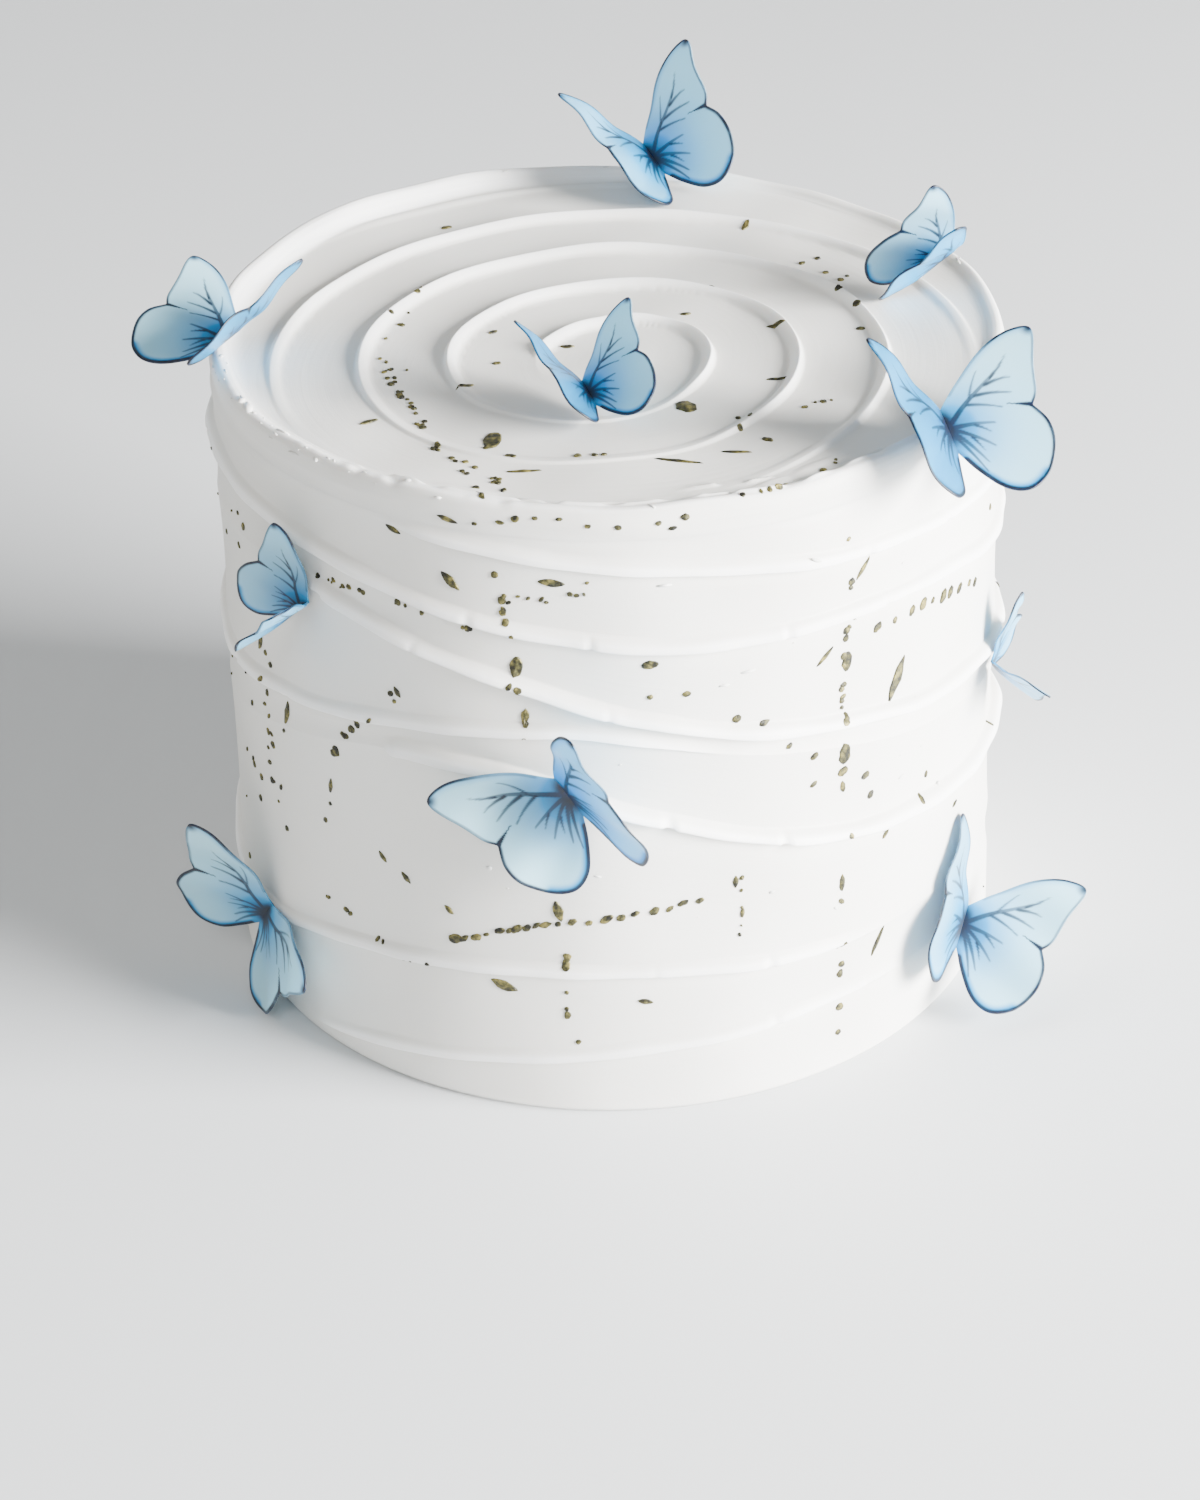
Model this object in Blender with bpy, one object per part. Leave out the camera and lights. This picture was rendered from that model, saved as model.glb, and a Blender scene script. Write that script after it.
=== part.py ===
"""Frosted layer cake with folded paper butterflies, modelled at its real size.

Metres, +Z up, origin at the centre of the cake's flat bottom. The front of the cake faces -Y.
Directions round the cake are degrees from the front, counted to the right seen from the front.
"""
import math
from collections import namedtuple

import bmesh
import bpy
import numpy as np
from mathutils import Matrix, Vector
from mathutils.bvhtree import BVHTree

MM = 0.001
MERGE = 0.02

# Cake body, in mm
CAKE_HEIGHT = 137.0
BASE_RADIUS = 82.0
TOP_RADIUS = 80.0
COLUMNS = 72
FOOT_HEIGHT = 1.2
FOOT_INSET = 0.9

# Swirl on the top: one ridge that winds out clockwise from a point nearer the front, in mm
SWIRL_CENTRE = (3.0, -15.0)
SWIRL_START = 13.0
SWIRL_PITCH = 17.5
SWIRL_WAVE = 4.2
SWIRL_SECOND_WAVE = 1.6
SWIRL_TURNS = 5
SWIRL_RIDGE = 1.3
SWIRL_HOLLOW = 0.25
SWIRL_EYE = 0.4
SWIRL_FEET = (0.0, 0.1, 0.5, 0.9)
SWIRL_LIMIT = 75.5
SWIRL_FADE = 14.0

# Rim round the top, in mm: inset from the side, height over the top, share of the ragged lift
RIM_ROWS = ((2.6, 0.9, 0.5), (1.0, 1.1, 1.0), (0.0, -0.3, 1.0), (-0.3, -2.2, 0.4))
RIM_RAGGED = 0.6

# Lips that the knife left on the side. A path is (degrees from the front, height in mm) points,
# an edge (first and last degree of the lip) and the height that the lip stands out, in mm
Lip = namedtuple("Lip", "path first last rise fade_in fade_out")
LIPS = (
    Lip(((-58, 0), (-43, 6), (-20, 11), (5, 16), (35, 19), (120, 12), (200, 9), (260, 5)),
        -52, 48, 0.9, 12, 22),
    Lip(((-64, 21), (-48, 28), (-20, 34), (5, 35), (30, 32), (90, 26), (150, 27), (200, 34), (250, 28)),
        196, 405, 1.3, 16, 22),
    Lip(((-60, 70), (-32, 81), (-12, 80), (5, 71), (21, 62), (41, 56), (90, 50), (165, 41), (230, 50)),
        -34, 170, 2.2, 3, 20),
    Lip(((-65, 78), (-38, 85), (-24, 88), (0, 91), (13, 84), (40, 76), (100, 62), (160, 60),
         (200, 86), (240, 80)), 198, 376, 1.3, 18, 14),
    Lip(((-48, 111), (-15, 101), (5, 92), (21, 86), (50, 80), (71, 76), (145, 66), (200, 93),
         (260, 105)), -52, 150, 1.9, 12, 20),
    Lip(((-55, 120), (-32, 116), (-7, 110), (15, 107.5), (50, 107), (75, 101), (150, 90),
         (200, 116), (260, 121)), 198, 515, 1.5, 16, 20),
    Lip(((-38, 130), (-27, 130), (-16, 128), (5, 125), (35, 120), (62, 117), (110, 113), (165, 114),
         (220, 127), (290, 130)), -34, 172, 1.3, 9, 18),
)
LIP_FOOT = 1.9
LIP_GAP = 4.6
LIP_UNDERCUT = 0.2
BAND_HOLLOW = 0.35
FOOT_BAND = 0.4
PATH_SMOOTHING = 9.0
PATH_SAMPLES = 7
ROWS_BETWEEN = 1
LONG_BAND = 14.0
TOP_BAND_LIMIT = CAKE_HEIGHT - 6.0

# Gold leaf flecks, in mm. On the side: degrees from the front, height, length, width, lean
FLECK_RISE = 0.6
FLECK_DEPTH = 0.9
SIDE_FLECKS = (
    (-22, 120.5, 5.2, 1.8, -40), (-8, 122.4, 5.4, 1.6, -5), (5, 105, 3.6, 1.8, 10),
    (44, 88.0, 9.6, 2.4, 62), (37, 116, 5.6, 1.1, 50), (31, 99.5, 5.4, 1.1, 42),
    (-8, 49.0, 5.0, 2.2, -75), (-16, 30.0, 5.8, 2.4, -20), (4, 27.5, 3.4, 1.2, -15),
    (-54, 75.5, 6.2, 1.6, 78), (-60, 88.0, 4.0, 1.5, 70), (-31, 50.0, 3.2, 1.2, -45),
    (-24, 45.5, 2.8, 1.0, -40), (41, 27.0, 7.6, 1.2, 64), (-13, 104.0, 4.4, 2.2, 85),
    (35, 96.5, 5.0, 2.0, 88), (35, 76.0, 5.2, 2.6, 90), (-12, 93.5, 3.4, 1.6, 80),
    (34, 68.5, 3.2, 1.5, 95), (34, 46.0, 4.2, 1.3, 88), (-31, 92.0, 2.8, 1.1, -55),
    (-34, 53.5, 3.2, 1.1, -50), (-44, 63.0, 4.0, 1.2, 85), (17, 91.0, 2.4, 1.6, 0),
    (38, 69.0, 2.4, 1.6, 30), (-7, 24.0, 2.4, 1.4, 90), (-7, 36.5, 2.6, 1.6, 90),
    (88, 58.0, 4.4, 1.8, 30), (118, 96.0, 5.2, 1.8, -35), (140, 40.0, 4.6, 2.0, 60),
    (165, 84.0, 5.6, 1.9, 15), (196, 52.0, 4.2, 1.6, -60), (222, 104.0, 4.8, 1.8, 40),
    (250, 66.0, 4.4, 1.6, 75), (268, 36.0, 3.6, 1.5, -25),
)
# A run of flecks: first and last place, count, fleck length and width, lean
SIDE_RUNS = (
    ((-19, 42.4), (11, 49.8), 8, 2.6, 1.0, 35),
    ((39, 102), (62, 97.5), 6, 2.4, 1.0, -28),
    ((34, 129), (34, 108), 3, 2.6, 1.4, 85),
    ((34, 60), (34, 12), 5, 3.0, 1.1, 88),
    ((-15.5, 124), (-14, 114), 3, 2.4, 1.5, 60),
)
# On the top: x, y, length, width, lean
TOP_FLECKS = (
    (-22, -50, 4.4, 3.4, 20), (15, -37, 4.2, 3.2, -15), (-16, -62.5, 6.4, 0.9, 2),
    (13, -59, 8.6, 0.9, -6), (24, -55.5, 5.4, 0.9, -5), (33, -25, 4.4, 0.9, 4),
    (-28, -27, 4.8, 0.9, 35), (-46, -41, 4.4, 1.4, 30), (-34, 51, 3.0, 1.6, 20),
    (34, -2, 4.2, 1.2, -12), (-8, -9, 3.2, 1.4, 0), (-25, -60, 3.0, 1.6, -40),
    (30, 48, 3.4, 1.6, 60), (-3, -57, 2.2, 1.2, 0), (31, -53, 2.8, 1.4, -30),
)
FLECK_SIDES = 8
FLECK_TAPER = 0.8
FLECK_LENGTHS = (0.9, 1.1)
FLECK_WIDTHS = (0.8, 1.2)
SEED = 7

# Butterflies. Wing outline from the front root to the back root: (out from the fold, towards head)
WING_OUTLINE = (
    (0.0, 4.6), (5.5, 9.6), (12.0, 14.2), (18.5, 16.8), (23.6, 16.6), (24.6, 14.2), (22.2, 8.0),
    (20.6, 2.0), (18.6, -0.8), (20.2, -5.6), (19.6, -11.0), (16.2, -16.2), (11.2, -18.6),
    (6.4, -16.6), (2.6, -11.0), (0.0, -5.4),
)
WING_MIDDLE = 0.5
FOLD_CENTRE = -0.4
WING_REACH = 20.0
WING_CUP = 1.6
WING_RIPPLE = 0.5
RIPPLE_AHEAD = 0.35
RIPPLE_OUT = 0.2
STIFF_FOLD = 6.0
SHEET = 0.5
SEAT_GAP = 0.36
SEAT_STEP = 0.1
HIGHEST_SEAT = 12.0

# Place of each butterfly: side perches give degrees from the front and height, top ones radius.
# facing is how far the sheet's outer side turns up (0 out of the side, 90 straight up),
# heading turns the head clockwise from straight up, nose and bank tip it, then the wings' lifts
Perch = namedtuple("Perch", "name around height radius facing heading nose bank right left size")
PERCHES = (
    Perch("butterfly_top_centre", -6, CAKE_HEIGHT, 36.0, 90, -29, 16, 0, 41, 40, 0.69),
    Perch("butterfly_back_rim", 172, CAKE_HEIGHT + 1, 77.5, 90, 139, 26, -9, 43, 35, 0.91),
    Perch("butterfly_back_right", 102, CAKE_HEIGHT, 70.0, 90, 197, 42, 42, 67, 66, 0.70),
    Perch("butterfly_right_rim", 52, CAKE_HEIGHT + 1, 81.5, 49, 23, -2, -3, 27, 23, 0.91),
    Perch("butterfly_left_rim", -83.5, CAKE_HEIGHT + 1, 76.2, 66, -44, -5, -2, 26, 33, 0.82),
    Perch("butterfly_left_side", -46.4, 104.0, 81.0, 0, 47, -7, -32, 50, 43, 0.66),
    Perch("butterfly_centre", -6, 78.0, 81.5, 0, -36, -5, -10, 34, 16, 0.92),
    Perch("butterfly_low_left", -61.3, 21.8, 82.0, 0, 37, -5, 7, 16, 28, 0.96),
    Perch("butterfly_low_right", 61.5, 15.5, 82.0, 0, 57, -6, -24, 47, 20, 0.94),
    Perch("butterfly_right_side", 71, 72.5, 82.0, 0, -51, 5, -3, 9, 64, 0.60),
)

# Linear colours, roughness and metallic value
ICING = ((0.86, 0.85, 0.82), 0.55, 0.0)
WAFER_PAPER = ((0.30, 0.52, 0.74), 0.45, 0.0)


def polar(around, radius):
    """The point at a direction round the cake, degrees from the front to the right."""
    angle = math.radians(around - 90.0)
    return Vector((radius * math.cos(angle), radius * math.sin(angle), 0.0))


def smoothstep(value):
    value = np.clip(value, 0.0, 1.0)
    return value * value * (3.0 - 2.0 * value)


def lip_height(lip, around):
    """Height of a lip's path at directions round the cake, its corners rounded off."""
    degrees, heights = np.array(sorted(lip.path)).T
    shifts = np.linspace(-PATH_SMOOTHING, PATH_SMOOTHING, PATH_SAMPLES)
    samples = [np.interp(around + shift, degrees, heights, period=360.0) for shift in shifts]
    return np.mean(samples, axis=0)


def lip_strength(lip, around):
    """0 where the knife left no lip, 1 along it, eased at both ends."""
    along = (around - lip.first) % 360.0
    length = lip.last - lip.first
    inside = smoothstep(along / lip.fade_in) * smoothstep((length - along) / lip.fade_out)
    return np.where(along < length, inside, 0.0)


def ordered_heights(around):
    """Path heights of all the lips, lowest first, held a lip's width apart."""
    heights = [lip_height(lip, around) for lip in LIPS]
    heights[0] = np.maximum(heights[0], FOOT_HEIGHT + LIP_FOOT + FOOT_BAND)
    for index in range(1, len(heights)):
        heights[index] = np.maximum(heights[index], heights[index - 1] + LIP_GAP)
    heights[-1] = np.minimum(heights[-1], TOP_BAND_LIMIT)
    for index in range(len(heights) - 2, -1, -1):
        heights[index] = np.minimum(heights[index], heights[index + 1] - LIP_GAP)
    return heights


def wall_radius(height):
    return BASE_RADIUS + (TOP_RADIUS - BASE_RADIUS) * height / CAKE_HEIGHT


def side_rows(around):
    """Rows up the side as (height, radius) arrays over the columns, following the lips."""
    level = np.zeros_like(around)
    rows = [(level, wall_radius(level) - FOOT_INSET)]
    level = np.full_like(around, FOOT_HEIGHT)
    rows.append((level, wall_radius(level)))
    heights = ordered_heights(around)
    below = rows[-1][0]
    for lip, height in zip(LIPS, heights):
        strength = lip_strength(lip, around)
        foot, top_foot = height - LIP_FOOT, height + LIP_FOOT
        spread = float(np.mean(foot - below))
        count = ROWS_BETWEEN + int(spread // LONG_BAND)
        for step in range(1, count + 1):
            level = below + (foot - below) * step / (count + 1)
            rows.append((level, wall_radius(level) - BAND_HOLLOW))
        rows.append((foot, wall_radius(foot) - LIP_UNDERCUT * strength))
        rows.append((height, wall_radius(height) + lip.rise * strength))
        rows.append((top_foot, wall_radius(top_foot) - LIP_UNDERCUT * strength))
        below = top_foot
    return rows


def swirl_radius(turned):
    """Distance of the ridge from the swirl's centre after a number of turns."""
    wave = SWIRL_WAVE * np.cos(2.0 * np.pi * turned) - SWIRL_SECOND_WAVE * np.sin(4.0 * np.pi * turned)
    return SWIRL_START + SWIRL_PITCH * turned + wave


def swirl_turn(column):
    """Share of a turn at a column. The swirl starts at the left and winds clockwise."""
    return column / COLUMNS


def swirl_relief(foot):
    """Height of the swirl across its strip: a ridge at both sides, a hollow half way."""
    return {0.0: SWIRL_RIDGE, 1.0: SWIRL_RIDGE, 0.5: -SWIRL_HOLLOW}.get(foot, 0.0)


def rim_distance(direction, radius):
    """Distance from the swirl's centre to a circle round the cake's axis, along a direction."""
    centre = Vector(SWIRL_CENTRE)
    along = centre.dot(direction)
    return -along + math.sqrt(along * along + radius * radius - centre.length_squared)


def column_direction(column):
    angle = math.pi - 2.0 * math.pi * column / COLUMNS
    return Vector((math.cos(angle), math.sin(angle)))


def swirl_mesh(mesh):
    """The top: a strip of faces that winds with the ridge, cut off at the limit circle.

    Returns the vertices on the limit circle, one for each column.
    """
    limits = [rim_distance(column_direction(column), SWIRL_LIMIT) for column in range(COLUMNS)]
    rings = []
    for turn in range(SWIRL_TURNS):
        for column in range(COLUMNS + 1):
            turned = turn + swirl_turn(column)
            inner, outer = swirl_radius(turned), swirl_radius(turned + 1.0)
            strip = []
            for foot in SWIRL_FEET + (1.0,):
                limit = limits[column % COLUMNS]
                distance = min(inner + (outer - inner) * foot, limit)
                fade = min(1.0, (limit - distance) / SWIRL_FADE)
                level = CAKE_HEIGHT + swirl_relief(foot) * fade
                direction = column_direction(column)
                place = Vector(SWIRL_CENTRE) + direction * distance
                strip.append(mesh.verts.new((place.x, place.y, level)))
            rings.append((column, strip))
    for (column, strip), (_, following) in zip(rings, rings[1:]):
        if column == COLUMNS:
            continue
        for near in range(len(strip) - 1):
            mesh.faces.new((strip[near], strip[near + 1], following[near + 1], following[near]))
    bmesh.ops.remove_doubles(mesh, verts=mesh.verts[:], dist=MERGE)
    bmesh.ops.dissolve_degenerate(mesh, dist=MERGE, edges=mesh.edges[:])
    eye_loop = [edge for edge in mesh.edges if edge.is_boundary
                and max(vert.co.xy.length for vert in edge.verts) < SWIRL_LIMIT - 1.0]
    eye = bmesh.ops.holes_fill(mesh, edges=eye_loop, sides=0)["faces"]
    hub = bmesh.ops.poke(mesh, faces=eye)["verts"]
    for vert in hub:
        vert.co.z = CAKE_HEIGHT - SWIRL_EYE
    return [vert for vert in mesh.verts if vert.is_boundary]


def around_of(point):
    return (math.degrees(math.atan2(point.y, point.x)) + 90.0) % 360.0


def add_ring(mesh, points, below):
    """A ring of vertices joined to the one below it."""
    ring = [mesh.verts.new(point) for point in points]
    count = len(ring)
    for index in range(count):
        after = (index + 1) % count
        mesh.faces.new((below[index], below[after], ring[after], ring[index]))
    return ring


def cake_body():
    """Frosted cylinder with the side lips, ragged rim and top swirl as one closed mesh."""
    mesh = bmesh.new()
    edge = swirl_mesh(mesh)
    edge.sort(key=lambda vert: around_of(vert.co))
    around = np.array([around_of(vert.co) for vert in edge])
    rng = np.random.default_rng(SEED)
    ragged = rng.uniform(-1.0, 1.0, len(edge))
    rings = []
    for height, radius in side_rows(around):
        rings.append([polar(a, r) + Vector((0.0, 0.0, h)) for a, r, h in zip(around, radius, height)])
    for inset, lift, share in reversed(RIM_ROWS):
        level = CAKE_HEIGHT + lift + RIM_RAGGED * share * ragged
        spread = TOP_RADIUS - inset + 0.4 * RIM_RAGGED * share * np.roll(ragged, 5)
        rings.append([polar(a, r) + Vector((0.0, 0.0, h)) for a, r, h in zip(around, spread, level)])
    below = [mesh.verts.new(point) for point in rings[0]]
    base = mesh.faces.new(list(reversed(below)))
    for points in rings[1:]:
        below = add_ring(mesh, points, below)
    count = len(edge)
    for index in range(count):
        after = (index + 1) % count
        mesh.faces.new((below[index], below[after], edge[after], edge[index]))
    bmesh.ops.poke(mesh, faces=[base])
    bmesh.ops.recalc_face_normals(mesh, faces=mesh.faces[:])
    bmesh.ops.triangulate(mesh, faces=mesh.faces[:])
    bmesh.ops.scale(mesh, vec=(MM, MM, MM), verts=mesh.verts[:])
    return finish_mesh(mesh, "cake")


def finish_mesh(mesh, name):
    """A new object in the scene from a bmesh."""
    data = bpy.data.meshes.new(name)
    mesh.to_mesh(data)
    mesh.free()
    thing = bpy.data.objects.new(name, data)
    bpy.context.scene.collection.objects.link(thing)
    return thing


def surface_tree(thing):
    return BVHTree.FromObject(thing, bpy.context.evaluated_depsgraph_get())


def frame_at(point, up, out):
    """Turn and place something drawn with +Y up the surface and +Z out of it."""
    out = out.normalized()
    side = up.cross(out).normalized()
    up = out.cross(side)
    turn = Matrix((side, up, out)).transposed().to_4x4()
    turn.translation = point
    return turn


def side_frame(tree, around, height):
    """Frame on the side of the cake, where a line from outside meets the icing."""
    start = polar(around, 2.0 * BASE_RADIUS) + Vector((0.0, 0.0, height))
    inward = -polar(around, 1.0)
    point, normal, _, _ = tree.ray_cast(start * MM, inward)
    return frame_at(point, Vector((0.0, 0.0, 1.0)), normal)


def top_frame(tree, x, y):
    start = Vector((x, y, 2.0 * CAKE_HEIGHT)) * MM
    point, normal, _, _ = tree.ray_cast(start, Vector((0.0, 0.0, -1.0)))
    return frame_at(point, Vector((0.0, 1.0, 0.0)), normal)


def fleck(name, place, length, width, lean, rng):
    """One drop of gold leaf: a pointed disc that sits on the icing, its foot sunk in."""
    mesh = bmesh.new()
    bmesh.ops.create_circle(mesh, cap_ends=True, segments=FLECK_SIDES, radius=0.5)
    for vert in mesh.verts:
        vert.co.x *= length * rng.uniform(*FLECK_LENGTHS)
        vert.co.y *= width * rng.uniform(*FLECK_WIDTHS)
    bmesh.ops.rotate(mesh, matrix=Matrix.Rotation(math.radians(lean), 3, "Z"), verts=mesh.verts[:])
    bmesh.ops.translate(mesh, vec=(0.0, 0.0, -FLECK_DEPTH), verts=mesh.verts[:])
    rise = bmesh.ops.extrude_face_region(mesh, geom=mesh.faces[:])
    upper = [part for part in rise["geom"] if isinstance(part, bmesh.types.BMVert)]
    middle = sum((vert.co for vert in upper), Vector()) / len(upper)
    for vert in upper:
        vert.co = middle + (vert.co - middle) * FLECK_TAPER
        vert.co.z += FLECK_DEPTH + FLECK_RISE
    bmesh.ops.recalc_face_normals(mesh, faces=mesh.faces[:])
    bmesh.ops.scale(mesh, vec=(MM, MM, MM), verts=mesh.verts[:])
    thing = finish_mesh(mesh, name)
    thing.matrix_world = place
    return thing


def gold_flecks(cake):
    """Every fleck that is large enough to show from a step away."""
    tree = surface_tree(cake)
    rng = np.random.default_rng(SEED)
    flecks = []
    for around, height, length, width, lean in SIDE_FLECKS:
        place = side_frame(tree, around, height)
        flecks.append(fleck("fleck", place, length, width, lean, rng))
    for first, last, count, length, width, lean in SIDE_RUNS:
        for share in np.linspace(0.0, 1.0, count):
            around, height = np.array(first) + (np.array(last) - np.array(first)) * share
            place = side_frame(tree, around, height)
            flecks.append(fleck("fleck", place, length, width, lean, rng))
    for x, y, length, width, lean in TOP_FLECKS:
        flecks.append(fleck("fleck", top_frame(tree, x, y), length, width, lean, rng))
    return flecks


def join_flecks(cake, flecks):
    """One union of the cake with the flecks on it, applied, and the loose flecks removed."""
    group = bpy.data.collections.new("flecks")
    bpy.context.scene.collection.children.link(group)
    for thing in flecks:
        group.objects.link(thing)
        bpy.context.scene.collection.objects.unlink(thing)
    union = cake.modifiers.new("join flecks", "BOOLEAN")
    union.operation = "UNION"
    union.operand_type = "COLLECTION"
    union.collection = group
    union.solver = "EXACT"
    graph = bpy.context.evaluated_depsgraph_get()
    joined = bpy.data.meshes.new_from_object(cake.evaluated_get(graph))
    cake.modifiers.clear()
    cake.data = joined
    for thing in flecks:
        bpy.data.objects.remove(thing, do_unlink=True)
    bpy.data.collections.remove(group)
    tidy = bmesh.new()
    tidy.from_mesh(joined)
    bmesh.ops.triangulate(tidy, faces=tidy.faces[:])
    tidy.to_mesh(joined)
    tidy.free()


def wing_point(out, ahead, lift, sign):
    """A point of a wing bent up from the fold, cupped and lightly rippled."""
    ripple = math.sin(RIPPLE_AHEAD * ahead + RIPPLE_OUT * out)
    bow = WING_CUP * (out / WING_REACH) ** 2 + WING_RIPPLE * ripple
    bow *= min(1.0, out / STIFF_FOLD)
    angle = math.radians(lift)
    level = Vector((out * math.cos(angle), ahead, out * math.sin(angle)))
    level += Vector((-math.sin(angle), 0.0, math.cos(angle))) * bow
    return Vector((sign * level.x, level.y, level.z))


def butterfly_mesh(perch):
    """Two wings on one fold, a single sheet drawn flat and given its thickness."""
    mesh = bmesh.new()
    last = len(WING_OUTLINE) - 1
    front_root, back_root = WING_OUTLINE[0][1], WING_OUTLINE[last][1]
    for sign, lift in ((1.0, perch.right), (-1.0, perch.left)):
        edge, middle = [], []
        for index, (out, ahead) in enumerate(WING_OUTLINE):
            edge.append(mesh.verts.new(wing_point(out, ahead, lift, sign)))
            root = front_root + (back_root - front_root) * index / last
            inner = (out * WING_MIDDLE, root + (ahead - root) * WING_MIDDLE)
            middle.append(mesh.verts.new(wing_point(*inner, lift, sign)))
        head, tail = edge[0], edge[-1]
        hub = mesh.verts.new((0.0, FOLD_CENTRE, 0.0))
        middle[0], middle[-1] = head, tail
        for index in range(last):
            outer = (edge[index], edge[index + 1])
            inner = (middle[index + 1], middle[index])
            corners = list(dict.fromkeys(outer + inner))
            mesh.faces.new(corners if sign < 0 else corners[::-1])
            corners = list(dict.fromkeys((middle[index], middle[index + 1], hub)))
            mesh.faces.new(corners if sign < 0 else corners[::-1])
    loose = [vert for vert in mesh.verts if not vert.link_faces]
    bmesh.ops.delete(mesh, geom=loose, context="VERTS")
    bmesh.ops.remove_doubles(mesh, verts=mesh.verts[:], dist=MERGE)
    bmesh.ops.triangulate(mesh, faces=mesh.faces[:])
    bmesh.ops.recalc_face_normals(mesh, faces=mesh.faces[:])
    scale = MM * perch.size
    bmesh.ops.scale(mesh, vec=(scale, scale, scale), verts=mesh.verts[:])
    return mesh


def perch_axes(perch):
    """Head, outward and side directions of a butterfly on its perch."""
    radial = polar(perch.around, 1.0)
    facing = math.radians(perch.facing)
    zenith = Vector((0.0, 0.0, 1.0))
    out = radial * math.cos(facing) + zenith * math.sin(facing)
    up = zenith * math.cos(facing) - radial * math.sin(facing)
    side = up.cross(out)
    head = Matrix.Rotation(-math.radians(perch.heading), 3, out) @ up
    side = head.cross(out)
    head = Matrix.Rotation(math.radians(perch.nose), 3, side) @ head
    out = side.cross(head)
    out = Matrix.Rotation(math.radians(perch.bank), 3, head) @ out
    return head, out


def clearance(tree, points):
    return min(tree.find_nearest(point)[3] for point in points)


def butterfly(perch, tree):
    """A folded butterfly, raised off the icing until only its fold is close to it."""
    thing = finish_mesh(butterfly_mesh(perch), perch.name)
    sheet = thing.modifiers.new("thickness", "SOLIDIFY")
    sheet.thickness = SHEET * MM
    sheet.offset = 0.0
    head, out = perch_axes(perch)
    seat = polar(perch.around, perch.radius) + Vector((0.0, 0.0, perch.height))
    outward = Vector((0.0, 0.0, 1.0)) if perch.facing == 90 else out
    raised = 0.0
    corners = [vert.co.copy() for vert in thing.data.vertices]
    faces = [face.vertices[:] for face in thing.data.polygons]
    points = corners + [face.center.copy() for face in thing.data.polygons]
    points += [(corners[a] + corners[b]) / 2.0 for a, b in thing.data.edge_keys]
    place = frame_at(seat * MM, head, out)
    needed = (SEAT_GAP + 0.5 * SHEET) * MM
    while raised < HIGHEST_SEAT:
        place.translation = (seat + outward * raised) * MM
        world = [place @ point for point in points]
        crossing = tree.overlap(BVHTree.FromPolygons(world[:len(corners)], faces))
        if not crossing and clearance(tree, world) > needed:
            break
        raised += SEAT_STEP
    thing.matrix_world = place
    return thing


def material(name, look):
    colour, roughness, metallic = look
    made = bpy.data.materials.new(name)
    made.use_nodes = True
    shader = made.node_tree.nodes["Principled BSDF"]
    shader.inputs["Base Color"].default_value = (*colour, 1.0)
    shader.inputs["Roughness"].default_value = roughness
    shader.inputs["Metallic"].default_value = metallic
    return made


def main():
    for thing in list(bpy.data.objects):
        bpy.data.objects.remove(thing, do_unlink=True)
    cake = cake_body()
    join_flecks(cake, gold_flecks(cake))
    cake.data.materials.clear()
    cake.data.materials.append(material("icing", ICING))
    tree = surface_tree(cake)
    wafer = material("wafer paper", WAFER_PAPER)
    for perch in PERCHES:
        thing = butterfly(perch, tree)
        thing.data.materials.append(wafer)


main()
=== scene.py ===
"""Looks of a frosted cake with folded wafer paper butterflies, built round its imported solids.

The cake's icing is one spun wall and one spun top, with the lips, swirl and ragged rim that the
palette knife left. Gold leaf flecks lie on it, and ten printed butterflies sit on it by their folds.
Sizes are in millimetres until a mesh is finished. Directions round the cake are degrees from the
front, counted to the right seen from the front.
"""
import logging
import math
from dataclasses import dataclass
from enum import Enum, IntEnum

import bmesh
import bpy
import numpy as np
from mathutils import Matrix, Vector
from mathutils.bvhtree import BVHTree


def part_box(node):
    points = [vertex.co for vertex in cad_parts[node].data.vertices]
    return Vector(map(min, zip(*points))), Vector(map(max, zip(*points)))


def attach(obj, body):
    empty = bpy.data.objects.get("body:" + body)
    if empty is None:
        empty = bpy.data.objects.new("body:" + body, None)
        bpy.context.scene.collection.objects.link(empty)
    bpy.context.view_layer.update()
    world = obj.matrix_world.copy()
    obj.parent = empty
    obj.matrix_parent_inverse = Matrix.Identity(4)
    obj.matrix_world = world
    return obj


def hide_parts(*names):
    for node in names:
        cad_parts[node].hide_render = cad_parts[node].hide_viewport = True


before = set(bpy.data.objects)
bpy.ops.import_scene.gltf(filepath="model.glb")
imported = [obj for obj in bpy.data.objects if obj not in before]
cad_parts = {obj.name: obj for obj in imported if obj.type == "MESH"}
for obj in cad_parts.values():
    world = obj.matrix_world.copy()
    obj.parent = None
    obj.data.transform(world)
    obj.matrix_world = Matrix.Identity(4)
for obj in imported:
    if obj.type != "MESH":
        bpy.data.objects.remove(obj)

log = logging.getLogger("butterfly cake")

Colour = tuple[float, float, float]
Point = tuple[float, float]

MM = 0.001
ZENITH = Vector((0.0, 0.0, 1.0))
MIDDLE = Vector((0.0, 0.0, 0.07))
CAKE_HEIGHT = 137.0
BASE_RADIUS = 82.0
TOP_RADIUS = 80.0
COLUMNS = 600
TOP_SEAM = 131.5
SWIRL_CENTRE = Vector((3.0, -15.0))
DISC_RADIUS = 75.5
SAME_PLACE = 1e-7


class Seed(IntEnum):
    """Seeds of the random draws. The lips count on from theirs, from the lowest lip."""

    CRUMBS = 5
    LEAF = 7
    WALL = 11
    DIPS = 13
    LIP_TORN = 20
    LIP_BROKEN = 40
    LIP_SPREAD = 60
    RIDGE = 80
    RIM_COARSE = 101
    RIM_FINE = 102
    RIM_OUTLINE = 103
    RIM_CLUSTERS = 104


def smoothstep(value: np.ndarray) -> np.ndarray:
    """Eases values from 0 to 1, flat at both ends."""
    value = np.clip(value, 0.0, 1.0)
    return value * value * (3.0 - 2.0 * value)


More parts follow.
